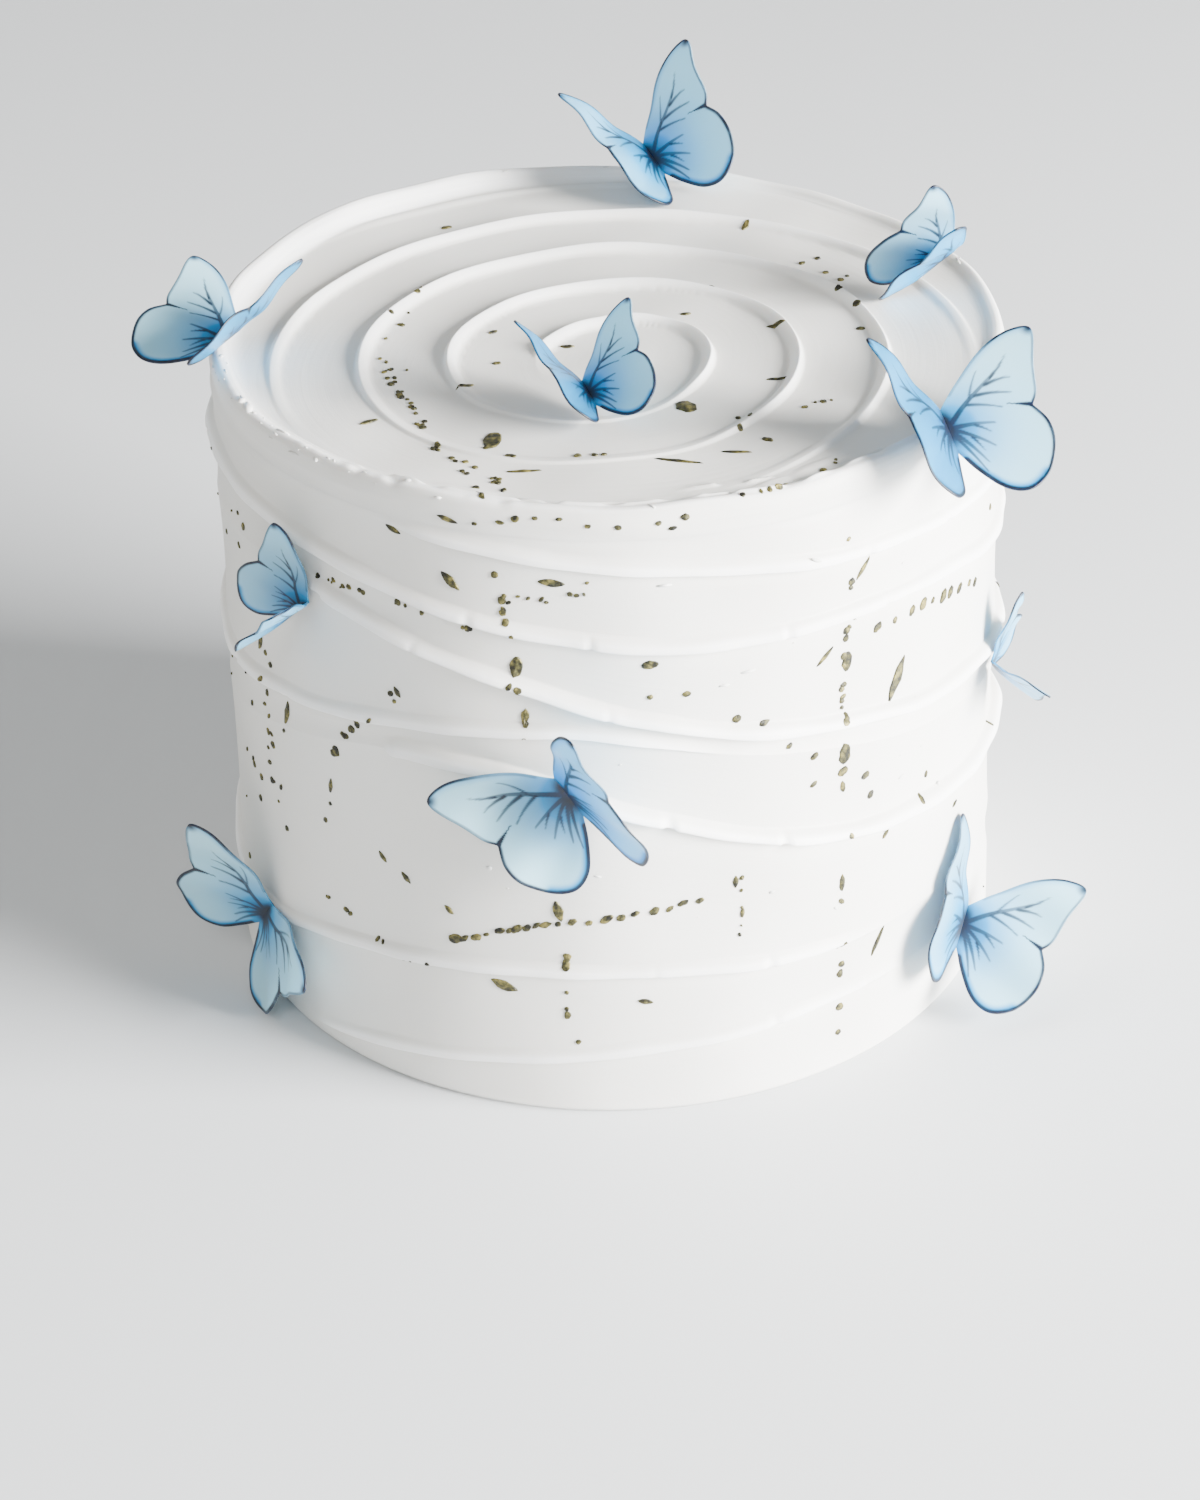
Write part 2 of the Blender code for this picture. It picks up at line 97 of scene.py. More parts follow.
def polar(around: float, radius: float, height: float = 0.0) -> Vector:
    """Gives the point at a direction round the cake, a distance from its axis and a height."""
    angle = math.radians(around - 90.0)
    return Vector((radius * math.cos(angle), radius * math.sin(angle), height))


def around_of(x: np.ndarray, y: np.ndarray) -> np.ndarray:
    """Gives the directions round the cake of points, in degrees from the front."""
    return (np.degrees(np.arctan2(y, x)) + 90.0) % 360.0


def stroke(distance: np.ndarray, width: np.ndarray | float, solid: float = 0.5) -> np.ndarray:
    """Draws a printed line by distance: full over its solid share and soft at its sides."""
    return 1.0 - smoothstep((distance / width - solid) / (1.0 - solid))


def bell(offset: np.ndarray, spread: float, power: float = 2.0) -> np.ndarray:
    """Gives 1 where there is no offset, falling off smoothly over the spread."""
    return np.exp(-(offset / spread) ** power)


def bow(share: np.ndarray, depth: np.ndarray | float) -> np.ndarray:
    """Gives an even bow over shares from 0 to 1, as deep as stated in its middle."""
    return depth * 4.0 * share * (1.0 - share)


def flank(share: np.ndarray, domed: float, straight: float, power: float = 0.8) -> np.ndarray:
    """Gives a bead's height at shares of its width: a domed part and a straight one."""
    return domed * (1.0 - share ** 2) ** power + straight * (1.0 - share)


def path_lengths(line: np.ndarray) -> np.ndarray:
    """Gives the length of a line of points up to each of them."""
    return np.concatenate(([0.0], np.cumsum(np.hypot(*np.diff(line, axis=0).T))))


def waves(around: np.ndarray, cycles: tuple[int, ...], seed: int) -> np.ndarray:
    """Makes an uneven line round the cake that closes on itself.

    Args:
        around: Directions in degrees.
        cycles: How many waves each part of the line has in one turn.
        seed: Seed of the waves' phases.

    Returns:
        Values mostly between -1 and 1.
    """
    rng = np.random.default_rng(seed)
    phases = rng.uniform(0.0, 2.0 * np.pi, len(cycles))
    parts = [np.sin(np.radians(around) * count + phase) for count, phase in zip(cycles, phases)]
    return np.sum(parts, axis=0) / math.sqrt(len(cycles))


def wall_radius(height: np.ndarray) -> np.ndarray:
    """Gives the radius of the plain wall at heights in mm."""
    return BASE_RADIUS + (TOP_RADIUS - BASE_RADIUS) * height / CAKE_HEIGHT


def unevenness(around: np.ndarray, height: np.ndarray, seed: int,
               cycles: tuple[int, ...] = (3, 5, 7, 9, 12, 16), lean: float = 0.09,
               calm: float = 2.4) -> np.ndarray:
    """Makes the broad unevenness of hand-spread icing, about one unit high.

    Args:
        around: Direction of each column, in degrees.
        height: Heights of rows by columns, in mm.
        seed: Seed of the waves' leans and phases.
        cycles: How many waves each part has in one turn.
        lean: The most that a part's waves lean, in radians for each mm of height.
        calm: What the sum of the waves is divided by.

    Returns:
        Values mostly between -1 and 1.
    """
    rng = np.random.default_rng(seed)
    total = np.zeros_like(height)
    for count in cycles:
        slope, phase = rng.uniform(-lean, lean), rng.uniform(0.0, 2.0 * np.pi)
        total += np.sin(np.radians(around) * count + slope * height + phase) / calm
    return total


def dips(x: np.ndarray, y: np.ndarray, seed: int,
         lengths: tuple[float, ...] = (70.0, 52.0, 41.0, 33.0, 26.0),
         calm: float = 2.2) -> np.ndarray:
    """Makes the broad unevenness of the flat top, about one unit high.

    Args:
        x: Places to the right, in mm.
        y: Places towards the back, in mm.
        seed: Seed of the waves' directions and phases.
        lengths: Length of each wave, in mm.
        calm: What the sum of the waves is divided by.

    Returns:
        Values mostly between -1 and 1.
    """
    rng = np.random.default_rng(seed)
    total = np.zeros_like(x)
    for length in lengths:
        angle, phase = rng.uniform(0.0, 2.0 * np.pi, 2)
        total += np.sin((x * np.cos(angle) + y * np.sin(angle)) * 2.0 * np.pi / length + phase) / calm
    return total


def mesh_object(mesh: bmesh.types.BMesh, name: str) -> bpy.types.Object:
    """Turns a finished bmesh into an object of the scene.

    Args:
        mesh: The bmesh, in metres and in place.
        name: Name of the new object.

    Returns:
        The object, at the origin.
    """
    data = bpy.data.meshes.new(name)
    mesh.to_mesh(data)
    mesh.free()
    thing = bpy.data.objects.new(name, data)
    bpy.context.scene.collection.objects.link(thing)
    return thing


def read_places(data: bpy.types.Mesh) -> np.ndarray:
    """Reads where a mesh's vertices are.

    Args:
        data: The mesh.

    Returns:
        An array of points.
    """
    places = np.empty(len(data.vertices) * 3, np.float32)
    data.vertices.foreach_get("co", places)
    return places.reshape(-1, 3).astype(float)


def write_places(data: bpy.types.Mesh, places: np.ndarray) -> None:
    """Writes an array of points to a mesh's vertices."""
    data.vertices.foreach_set("co", places.astype(np.float32).ravel())
    data.update()


def point_attribute(data: bpy.types.Mesh, name: str, values: np.ndarray) -> None:
    """Stores one number for each vertex, for a material to read."""
    attribute = data.attributes.new(name, "FLOAT", "POINT")
    attribute.data.foreach_set("value", values.astype(np.float32))


def dress(thing: bpy.types.Object, finish: bpy.types.Material, slot: str, *nodes: str) -> None:
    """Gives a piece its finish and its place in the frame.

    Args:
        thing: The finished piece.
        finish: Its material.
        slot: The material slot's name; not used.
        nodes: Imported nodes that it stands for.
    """
    thing.data.materials.clear()
    thing.data.materials.append(finish)
    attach(thing, "root")
    if nodes:
        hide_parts(*nodes)
    log.info("%s: %d faces", thing.name, len(thing.data.polygons))


def frame_at(point: Vector, up: Vector, out: Vector) -> Matrix:
    """Turns and places something drawn with +Y up a surface and +Z out of it.

    Args:
        point: Place on the surface.
        up: A direction up the surface.
        out: The direction out of it.

    Returns:
        The placing matrix.
    """
    out = out.normalized()
    side = up.cross(out).normalized()
    turn = Matrix((side, out.cross(side), out)).transposed().to_4x4()
    turn.translation = point
    return turn


class Shader:
    """A material under construction: its nodes are added by short calls."""

    mix_inputs = (0, 6, 7)
    mix_result = 2

    def __init__(self, name: str) -> None:
        """Starts a material with one Principled shader.

        Args:
            name: The material's name.
        """
        self.material = bpy.data.materials.new(name)
        self.material.use_nodes = True
        self.tree = self.material.node_tree
        self.surface = self.tree.nodes["Principled BSDF"]

    def node(self, kind: str, settings: dict | None = None, **inputs: object) -> bpy.types.Node:
        """Adds a node.

        Args:
            kind: Blender's name of the node type, without its prefix.
            settings: The node's own properties.
            inputs: Values or output sockets for its inputs, underscores for spaces. A name
                such as in0 means the input of that number.

        Returns:
            The new node.
        """
        made = self.tree.nodes.new("ShaderNode" + kind)
        for name, value in (settings or {}).items():
            setattr(made, name, value)
        for name, value in inputs.items():
            numbered = name.startswith("in") and name[2:].isdigit()
            socket = made.inputs[int(name[2:])] if numbered else made.inputs[name.replace("_", " ")]
            self.join(value, socket)
        return made

    def join(self, value: object, socket: bpy.types.NodeSocket) -> None:
        """Links an output to a socket, or sets the socket's own value.

        Args:
            value: The output, or the value.
            socket: The input that takes it.
        """
        if isinstance(value, bpy.types.NodeSocket):
            self.tree.links.new(value, socket)
        else:
            socket.default_value = value

    def math(self, operation: str, *values: object) -> bpy.types.NodeSocket:
        """Adds a Math node and gives its result."""
        inputs = {f"in{place}": value for place, value in enumerate(values)}
        return self.node("Math", {"operation": operation}, **inputs).outputs[0]

    def attribute(self, name: str) -> bpy.types.NodeSocket:
        """Reads a number that the mesh holds for each vertex."""
        return self.node("Attribute", {"attribute_name": name}).outputs["Fac"]

    def place(self) -> bpy.types.NodeSocket:
        """Reads the place on the piece, in metres."""
        return self.node("TexCoord").outputs["Object"]

    def noise(self, vector: bpy.types.NodeSocket, scale: float, detail: float = 2.0,
              roughness: float = 0.5) -> bpy.types.NodeSocket:
        """Adds a Noise Texture and gives its value."""
        made = self.node("TexNoise", Vector=vector, Scale=scale, Detail=detail, Roughness=roughness)
        return made.outputs[0]

    def ramp(self, value: bpy.types.NodeSocket,
             stops: tuple[tuple[float, Colour], ...]) -> bpy.types.NodeSocket:
        """Adds a Color Ramp.

        Args:
            value: What the ramp reads.
            stops: The places of its stops, rising from 0 to 1, and their colours.

        Returns:
            Its colour.
        """
        made = self.node("ValToRGB", Fac=value)
        elements = made.color_ramp.elements
        for place, _ in stops[1:-1]:
            elements.new(place)
        for element, (place, colour) in zip(elements, stops):
            element.position = place
            element.color = (*colour, 1.0)
        return made.outputs["Color"]

    def mix(self, *values: object) -> bpy.types.NodeSocket:
        """Mixes two colours.

        Args:
            values: The second colour's share, the first colour and the second one.

        Returns:
            The mixed colour.
        """
        made = self.node("Mix", {"data_type": "RGBA"})
        for place, value in zip(self.mix_inputs, values):
            self.join(value, made.inputs[place])
        return made.outputs[self.mix_result]

    def bump(self, height: bpy.types.NodeSocket, strength: float, distance: float,
             below: bpy.types.NodeSocket | None = None) -> bpy.types.NodeSocket:
        """Adds a Bump node.

        Args:
            height: The heights, from 0 to 1.
            strength: Its strength.
            distance: The full height, in metres.
            below: The normal of a Bump node that this one lies over.

        Returns:
            Its normal.
        """
        made = self.node("Bump", Height=height, Strength=strength, Distance=distance)
        if below is not None:
            self.join(below, made.inputs["Normal"])
        return made.outputs["Normal"]

    def finish(self, **inputs: object) -> bpy.types.Material:
        """Fills the surface's inputs.

        Args:
            inputs: Values or output sockets for its inputs, underscores for spaces.

        Returns:
            The finished material.
        """
        for name, value in inputs.items():
            self.join(value, self.surface.inputs[name.replace("_", " ")])
        return self.material


@dataclass(frozen=True)
class IcingFinish:
    """Smooth warm white buttercream with the knife's fine streaks and small grain.

    Scales are for a metre, and each bump is its strength and its full height in metres. The crest
    colour is a painted highlight where the icing catches the light, full from a set share on.
    """

    pale: Colour = (0.79, 0.782, 0.752)
    warm: Colour = (0.755, 0.742, 0.705)
    # painted highlight: the near white that crests get where they catch the light
    crest: Colour = (0.965, 0.965, 0.955)
    painted_highlight_full: float = 0.45
    cloud_scale: float = 28.0
    cloud_range: Point = (0.3, 0.65)
    roughness: float = 0.48
    roughness_spread: float = 0.16
    specular: float = 0.4
    scatter: float = 0.2
    scatter_radius: Colour = (1.0, 0.85, 0.7)
    scatter_scale: float = 0.0018
    streaks_per_mm: float = 0.9
    streak_scale: float = 14.0
    streak_bump: Point = (0.15, 0.00035)
    grain_scale: float = 900.0
    grain_bump: Point = (0.18, 0.00012)

    def make(self) -> bpy.types.Material:
        """Builds the material.

        Returns:
            The material, which reads the mesh's place across the sweeps and share in a crest.
        """
        shader = Shader("icing")
        parts = shader.node("SeparateXYZ", Vector=shader.place()).outputs
        x, y = (shader.math("MULTIPLY", parts[name], self.streak_scale) for name in "XY")
        across = shader.math("MULTIPLY", shader.attribute("sweep"), self.streaks_per_mm)
        lengthwise = shader.node("CombineXYZ", X=x, Y=y, Z=across).outputs[0]
        streaks = shader.noise(lengthwise, 1.0, detail=3.0, roughness=0.6)
        grain = shader.noise(shader.place(), self.grain_scale, detail=3.0, roughness=0.55)
        clouds = shader.noise(shader.place(), self.cloud_scale)
        bands = shader.ramp(clouds, tuple(zip(self.cloud_range, (self.warm, self.pale))))
        # painted highlight: the mesh's crest share mixes in the near white colour
        share = shader.math("DIVIDE", shader.attribute("crest"), self.painted_highlight_full)
        share = shader.math("MINIMUM", share, 1.0)
        smoothest = self.roughness - 0.5 * self.roughness_spread
        return shader.finish(
            Base_Color=shader.mix(share, bands, (*self.crest, 1.0)),
            Roughness=shader.math("MULTIPLY_ADD", streaks, self.roughness_spread, smoothest),
            Specular_IOR_Level=self.specular, Subsurface_Weight=self.scatter,
            Subsurface_Radius=self.scatter_radius, Subsurface_Scale=self.scatter_scale,
            Normal=shader.bump(grain, *self.grain_bump, shader.bump(streaks, *self.streak_bump)))


@dataclass(frozen=True)
class GoldFinish:
    """Crinkled gold leaf, olive where it turns from the light. Scales are for a metre."""

    dark: Colour = (0.010, 0.010, 0.006)
    olive: Colour = (0.066, 0.061, 0.020)
    bright: Colour = (0.225, 0.190, 0.055)
    patch_scale: float = 620.0
    patch_range: tuple[float, ...] = (0.38, 0.52, 0.68)
    metallic: float = 0.45
    roughness: float = 0.5
    crinkle_scale: float = 1500.0
    crinkle_bump: Point = (0.5, 0.0002)

    def make(self) -> bpy.types.Material:
        """Builds the material.

        Returns:
            The material.
        """
        shader = Shader("gold leaf")
        patches = shader.noise(shader.place(), self.patch_scale, detail=3.0, roughness=0.65)
        stops = tuple(zip(self.patch_range, (self.dark, self.olive, self.bright)))
        crinkle = shader.noise(shader.place(), self.crinkle_scale)
        return shader.finish(
            Base_Color=shader.ramp(patches, stops), Metallic=self.metallic,
            Roughness=self.roughness, Normal=shader.bump(crinkle, *self.crinkle_bump))


@dataclass(frozen=True)
class WaferFinish:
    """Thin printed wafer paper: pale blue, a deep blue wash at the fold, navy veins and edge.

    The wash is pale at 0, sky blue at sky_at and deep at 1. Scales are for a metre.
    """

    pale: Colour = (0.36, 0.63, 0.78)
    sky: Colour = (0.006, 0.255, 0.52)
    deep: Colour = (0.0005, 0.058, 0.17)
    navy: Colour = (0.001, 0.005, 0.018)
    sky_at: float = 0.55
    mottle: float = 0.3
    mottle_scale: float = 260.0
    roughness: float = 0.42
    opacity: float = 0.94
    scatter: float = 0.8
    scatter_radius: Colour = (0.8, 0.9, 1.0)
    scatter_scale: float = 0.0012
    fibre_scale: float = 1300.0
    fibre_bump: Point = (0.15, 0.0001)

    def make(self) -> bpy.types.Material:
        """Builds the material.

        Returns:
            The material, which reads the mesh's wash and ink.
        """
        shader = Shader("wafer paper")
        stops = ((0.0, self.pale), (self.sky_at, self.sky), (1.0, self.deep))
        wash = shader.ramp(shader.attribute("wash"), stops)
        mottle = shader.noise(shader.place(), self.mottle_scale, detail=3.0)
        faded = shader.math("MULTIPLY_ADD", mottle, self.mottle, 1.0 - 0.5 * self.mottle)
        ink = shader.math("MULTIPLY", shader.attribute("ink"), faded)
        fibre = shader.noise(shader.place(), self.fibre_scale)
        return shader.finish(
            Base_Color=shader.mix(ink, wash, (*self.navy, 1.0)), Roughness=self.roughness,
            Alpha=self.opacity, Subsurface_Weight=self.scatter,
            Subsurface_Radius=self.scatter_radius, Subsurface_Scale=self.scatter_scale,
            Normal=shader.bump(fibre, *self.fibre_bump))


@dataclass(frozen=True)
class PlainFinish:
    """One matt colour with a trace of mottling, for the floor."""

    name: str
    colour: Colour
    roughness: float = 0.6
    darkest: float = 0.985
    mottle_scale: float = 3.0
    mottle_range: Point = (0.35, 0.65)

    def make(self) -> bpy.types.Material:
        """Builds the material.

        Returns:
            The material.
        """
        shader = Shader(self.name)
        darker = tuple(self.darkest * part for part in self.colour)
        mottle = shader.noise(shader.place(), self.mottle_scale)
        stops = tuple(zip(self.mottle_range, (darker, self.colour)))
        return shader.finish(Base_Color=shader.ramp(mottle, stops), Roughness=self.roughness)


@dataclass(frozen=True)
class Lip:
    """A thin lip that the knife's lower edge left on the side.

    path holds (degrees from the front, height in mm) points, first and last the degrees between
    which the lip shows, rise how far it stands out in mm, and the fades the degrees of its ends.
    """

    path: tuple[Point, ...]
    first: float
    last: float
    rise: float
    fade_in: float
    fade_out: float

    smoothing: float = 9.0
    samples: int = 7

    def height(self, around: np.ndarray) -> np.ndarray:
        """Works out where the path runs, its corners rounded off.

        Args:
            around: Directions in degrees.

        Returns:
            The path's heights there, in mm.
        """
        degrees, heights = np.array(sorted(self.path)).T
        shifts = np.linspace(-self.smoothing, self.smoothing, self.samples)
        lines = [np.interp(around + shift, degrees, heights, period=360.0) for shift in shifts]
        return np.mean(lines, axis=0)

    def strength(self, around: np.ndarray) -> np.ndarray:
        """Works out where the lip shows, eased at both ends.

        Args:
            around: Directions in degrees.

        Returns:
            0 where there is no lip and 1 along it.
        """
        along = (around - self.first) % 360.0
        length = self.last - self.first
        inside = smoothstep(along / self.fade_in) * smoothstep((length - along) / self.fade_out)
        return np.where(along < length, inside, 0.0)


LIPS = (
    Lip(((-58, 0), (-43, 6), (-20, 11), (5, 16), (35, 19), (120, 12), (200, 9), (260, 5)),
        -52, 48, 0.9, 12, 22),
    Lip(((-64, 21), (-48, 28), (-20, 34), (5, 35), (30, 32), (90, 26), (150, 27), (200, 34),
         (250, 28)), 196, 405, 1.3, 16, 22),
    Lip(((-60, 70), (-32, 81), (-12, 80), (5, 71), (21, 62), (41, 56), (90, 50), (165, 41),
         (230, 50)), -34, 170, 2.2, 3, 20),
    Lip(((-65, 78), (-38, 85), (-24, 88), (0, 91), (13, 84), (40, 76), (100, 62), (160, 60),
         (200, 86), (240, 80)), 198, 376, 1.3, 18, 14),
    Lip(((-48, 111), (-15, 101), (5, 92), (21, 86), (50, 80), (71, 76), (145, 66), (200, 93),
         (260, 105)), -52, 150, 1.9, 12, 20),
    Lip(((-55, 120), (-32, 116), (-7, 110), (15, 107.5), (50, 107), (75, 101), (150, 90),
         (200, 116), (260, 121)), 198, 515, 1.5, 16, 20),
    Lip(((-38, 130), (-27, 130), (-16, 128), (5, 125), (35, 120), (62, 117), (110, 113),
         (165, 114), (220, 127), (290, 130)), -34, 172, 1.3, 9, 18),
)


@dataclass
class SideIcing:
    """The wall of icing: bands that the knife swept, each ending below in a thin lip.

    Sizes are in mm. above_crest and below_crest are how far rows lie from a crest, squeezed in
    bands lower than full_band. The cycles are waves in one turn of what is torn or broken.
    """

    lips: tuple[Lip, ...] = LIPS
    lip_gap: float = 4.6
    highest_path: float = CAKE_HEIGHT - 6.0
    foot_height: float = 1.2
    foot_inset: float = 0.9
    foot_band: float = 2.3
    foot_ease: float = 3.0
    seam_ease: float = 2.0
    above_crest: tuple[float, ...] = (0.25, 0.6, 1.1, 1.6, 2.05, 2.4, 2.65, 2.9, 3.4)
    below_crest: tuple[float, ...] = (0.15, 0.35, 0.6, 0.95, 1.4, 2.1)
    full_band: float = 11.0
    least_squeeze: float = 0.02
    middle_rows: int = 3
    lip_top: float = 2.2
    lip_top_change: float = 0.10
    lip_top_cycles: tuple[int, ...] = (5, 11, 19)
    lip_under: float = 0.6
    lip_dome: Point = (0.7, 0.3)
    torn: float = 0.12
    torn_cycles: tuple[int, ...] = (7, 13, 29)
    broken: float = 0.30
    broken_from: float = 1.15
    broken_ease: float = 0.5
    broken_cycles: tuple[int, ...] = (23, 41, 67)
    undercut: float = 0.3
    undercut_in: float = 0.5
    undercut_full: float = 0.9
    undercut_out: float = 1.6
    droop: float = 0.45
    droop_spread: float = 0.5
    # painted highlight: a high power keeps the whiter colour to a thin line at each lip's crest
    painted_highlight_power: int = 4
    band_hollow: float = 0.45
    uneven: float = 0.28

    def crests(self, around: np.ndarray) -> list[np.ndarray]:
        """Works out the lips' path heights, held a lip's width apart.

        Args:
            around: Direction of each column.

        Returns:
            Each lip's heights, lowest lip first.
        """
        heights = [lip.height(around) for lip in self.lips]
        heights[0] = np.maximum(heights[0], self.foot_height + self.foot_band)
        for index in range(1, len(heights)):
            heights[index] = np.maximum(heights[index], heights[index - 1] + self.lip_gap)
        heights[-1] = np.minimum(heights[-1], self.highest_path)
        for index in range(len(heights) - 2, -1, -1):
            heights[index] = np.minimum(heights[index], heights[index + 1] - self.lip_gap)
        return heights

    def row_heights(self, around: np.ndarray) -> np.ndarray:
        """Gives the heights of all rows, from the foot to the seam with the top.

        Args:
            around: Direction of each column.

        Returns:
            An array of rows by columns, dense beside the lips.
        """
        foot = np.full_like(around, self.foot_height)
        seam = np.full_like(around, TOP_SEAM)
        edges = [foot, *self.crests(around), seam]
        rows = [np.zeros_like(around)]
        for below, above in zip(edges, edges[1:]):
            squeeze = np.clip((above - below) / self.full_band, self.least_squeeze, 1.0)
            lower = [below + step * squeeze for step in self.above_crest]
            upper = [above - step * squeeze for step in reversed(self.below_crest)]
            shares = np.linspace(0.0, 1.0, self.middle_rows + 2)[1:-1]
            middle = [lower[-1] + (upper[0] - lower[-1]) * share for share in shares]
            rows += [below, *lower, *middle, *upper]
        rows.append(seam)
        return np.array(rows)

    def lip_strength(self, index: int, around: np.ndarray) -> np.ndarray:
        """Works out how fully a lip stands out along its path, torn and broken here and there.

        Args:
            index: Which lip, from the lowest.
            around: Direction of each column.

        Returns:
            Shares of its rise, by column.
        """
        torn = 1.0 + self.torn * waves(around, self.torn_cycles, Seed.LIP_TORN + index)
        broken = waves(around, self.broken_cycles, Seed.LIP_BROKEN + index) - self.broken_from
        torn -= self.broken * smoothstep(broken / self.broken_ease)
        return self.lips[index].strength(around) * torn

    def lip_profile(self, index: int, around: np.ndarray, gap: np.ndarray) -> np.ndarray:
        """Works out a lip's profile, sharp below its crest and domed above it.

        Args:
            index: Which lip, from the lowest.
            around: Direction of each column.
            gap: Height over the lip's crest of rows by columns, in mm.

        Returns:
            Shares of the lip's rise.
        """
        change = waves(around, self.lip_top_cycles, Seed.LIP_SPREAD + index)
        spread = self.lip_top * (1.0 + self.lip_top_change * change)
        above = flank(np.clip(gap / spread, 0.0, 1.0), *self.lip_dome)
        return np.where(gap >= 0.0, above, 1.0 - smoothstep(-gap / self.lip_under))

    def relief(self, around: np.ndarray,
               heights: np.ndarray) -> tuple[np.ndarray, np.ndarray, np.ndarray]:
        """Works out how the knife's work moves the plain wall.

        Args:
            around: Direction of each column.
            heights: Heights of rows by columns.

        Returns:
            How far each point stands out, how far it sags, in mm, and its share of painted highlight at a
            lip's crest.
        """
        out = self.uneven * unevenness(around, heights, Seed.WALL)
        sag, painted_highlight_share = np.zeros_like(heights), np.zeros_like(heights)
        crests = self.crests(around)
        for index, (lip, crest) in enumerate(zip(self.lips, crests)):
            strength = self.lip_strength(index, around)
            gap = heights - crest
            profile = self.lip_profile(index, around, gap)
            cut = smoothstep(-gap / self.undercut_in)
            cut *= 1.0 - smoothstep((-gap - self.undercut_full) / self.undercut_out)
            out += strength * (lip.rise * profile - self.undercut * cut * (gap < 0.0))
            sag += strength * self.droop * bell(gap, self.droop_spread)
            # painted highlight: whiter colour at each lip's crest, where it catches the light
            painted_highlight_share += np.clip(strength, 0.0, 1.0) * profile ** self.painted_highlight_power
        for below, above in zip(crests, crests[1:]):
            share = np.clip((heights - below) / (above - below), 0.0, 1.0)
            out -= bow(share, self.band_hollow)
        ends = smoothstep(heights / self.foot_ease)
        ends *= smoothstep((TOP_SEAM - heights) / self.seam_ease)
        return out * ends, sag * ends, painted_highlight_share * ends

    def make(self, around: np.ndarray) -> bpy.types.Object:
        """Spins the wall and presses the lips into it.

        Args:
            around: Direction of each column, shared with the top.

        Returns:
            The wall with its closed base.
        """
        heights = self.row_heights(around)
        # crest is the share of painted highlight at the lips
        out, sag, crest = self.relief(around, heights)
        radii = wall_radius(heights) + out
        radii[0] -= self.foot_inset
        angles = np.radians(around - 90.0)
        sweep = np.mean(heights, axis=1)[:, None] + 0.0 * around
        points = np.stack((radii * np.cos(angles), radii * np.sin(angles), heights - sag, sweep,
                           crest), axis=2)
        hub = np.zeros_like(points[:1])
        return round_shell("icing_side", np.concatenate((hub, points)))


def round_shell(name: str, points: np.ndarray) -> bpy.types.Object:
    """Wraps a grid round the cake's axis and closes it where its sides meet.

    Args:
        name: Name of the new object.
        points: Place in mm, place across the sweeps and share of painted highlight, rings by
            columns by five. The first column isn't repeated.

    Returns:
        The shell, its faces not yet turned.
    """
    rows = len(points)
    mesh = bmesh.new()
    bmesh.ops.create_grid(mesh, x_segments=COLUMNS, y_segments=rows - 1, size=0.5)
    thing = mesh_object(mesh, name)
    square = read_places(thing.data)
    column = np.round((square[:, 0] + 0.5) * COLUMNS).astype(int) % COLUMNS
    row = np.round((square[:, 1] + 0.5) * (rows - 1)).astype(int)
    point_attribute(thing.data, "sweep", points[row, column, 3])
    # the crest attribute carries the share of painted highlight
    point_attribute(thing.data, "crest", points[row, column, 4])
    write_places(thing.data, points[row, column, :3] * MM)
    shell = bmesh.new()
    shell.from_mesh(thing.data)
    bmesh.ops.remove_doubles(shell, verts=shell.verts[:], dist=SAME_PLACE)
    shell.to_mesh(thing.data)
    shell.free()
    return thing


@dataclass(frozen=True)
class RimLine:
    """A thin broken line that runs along the rim between two directions, in mm and degrees."""

    radius: float
    stray: float
    first: float
    last: float


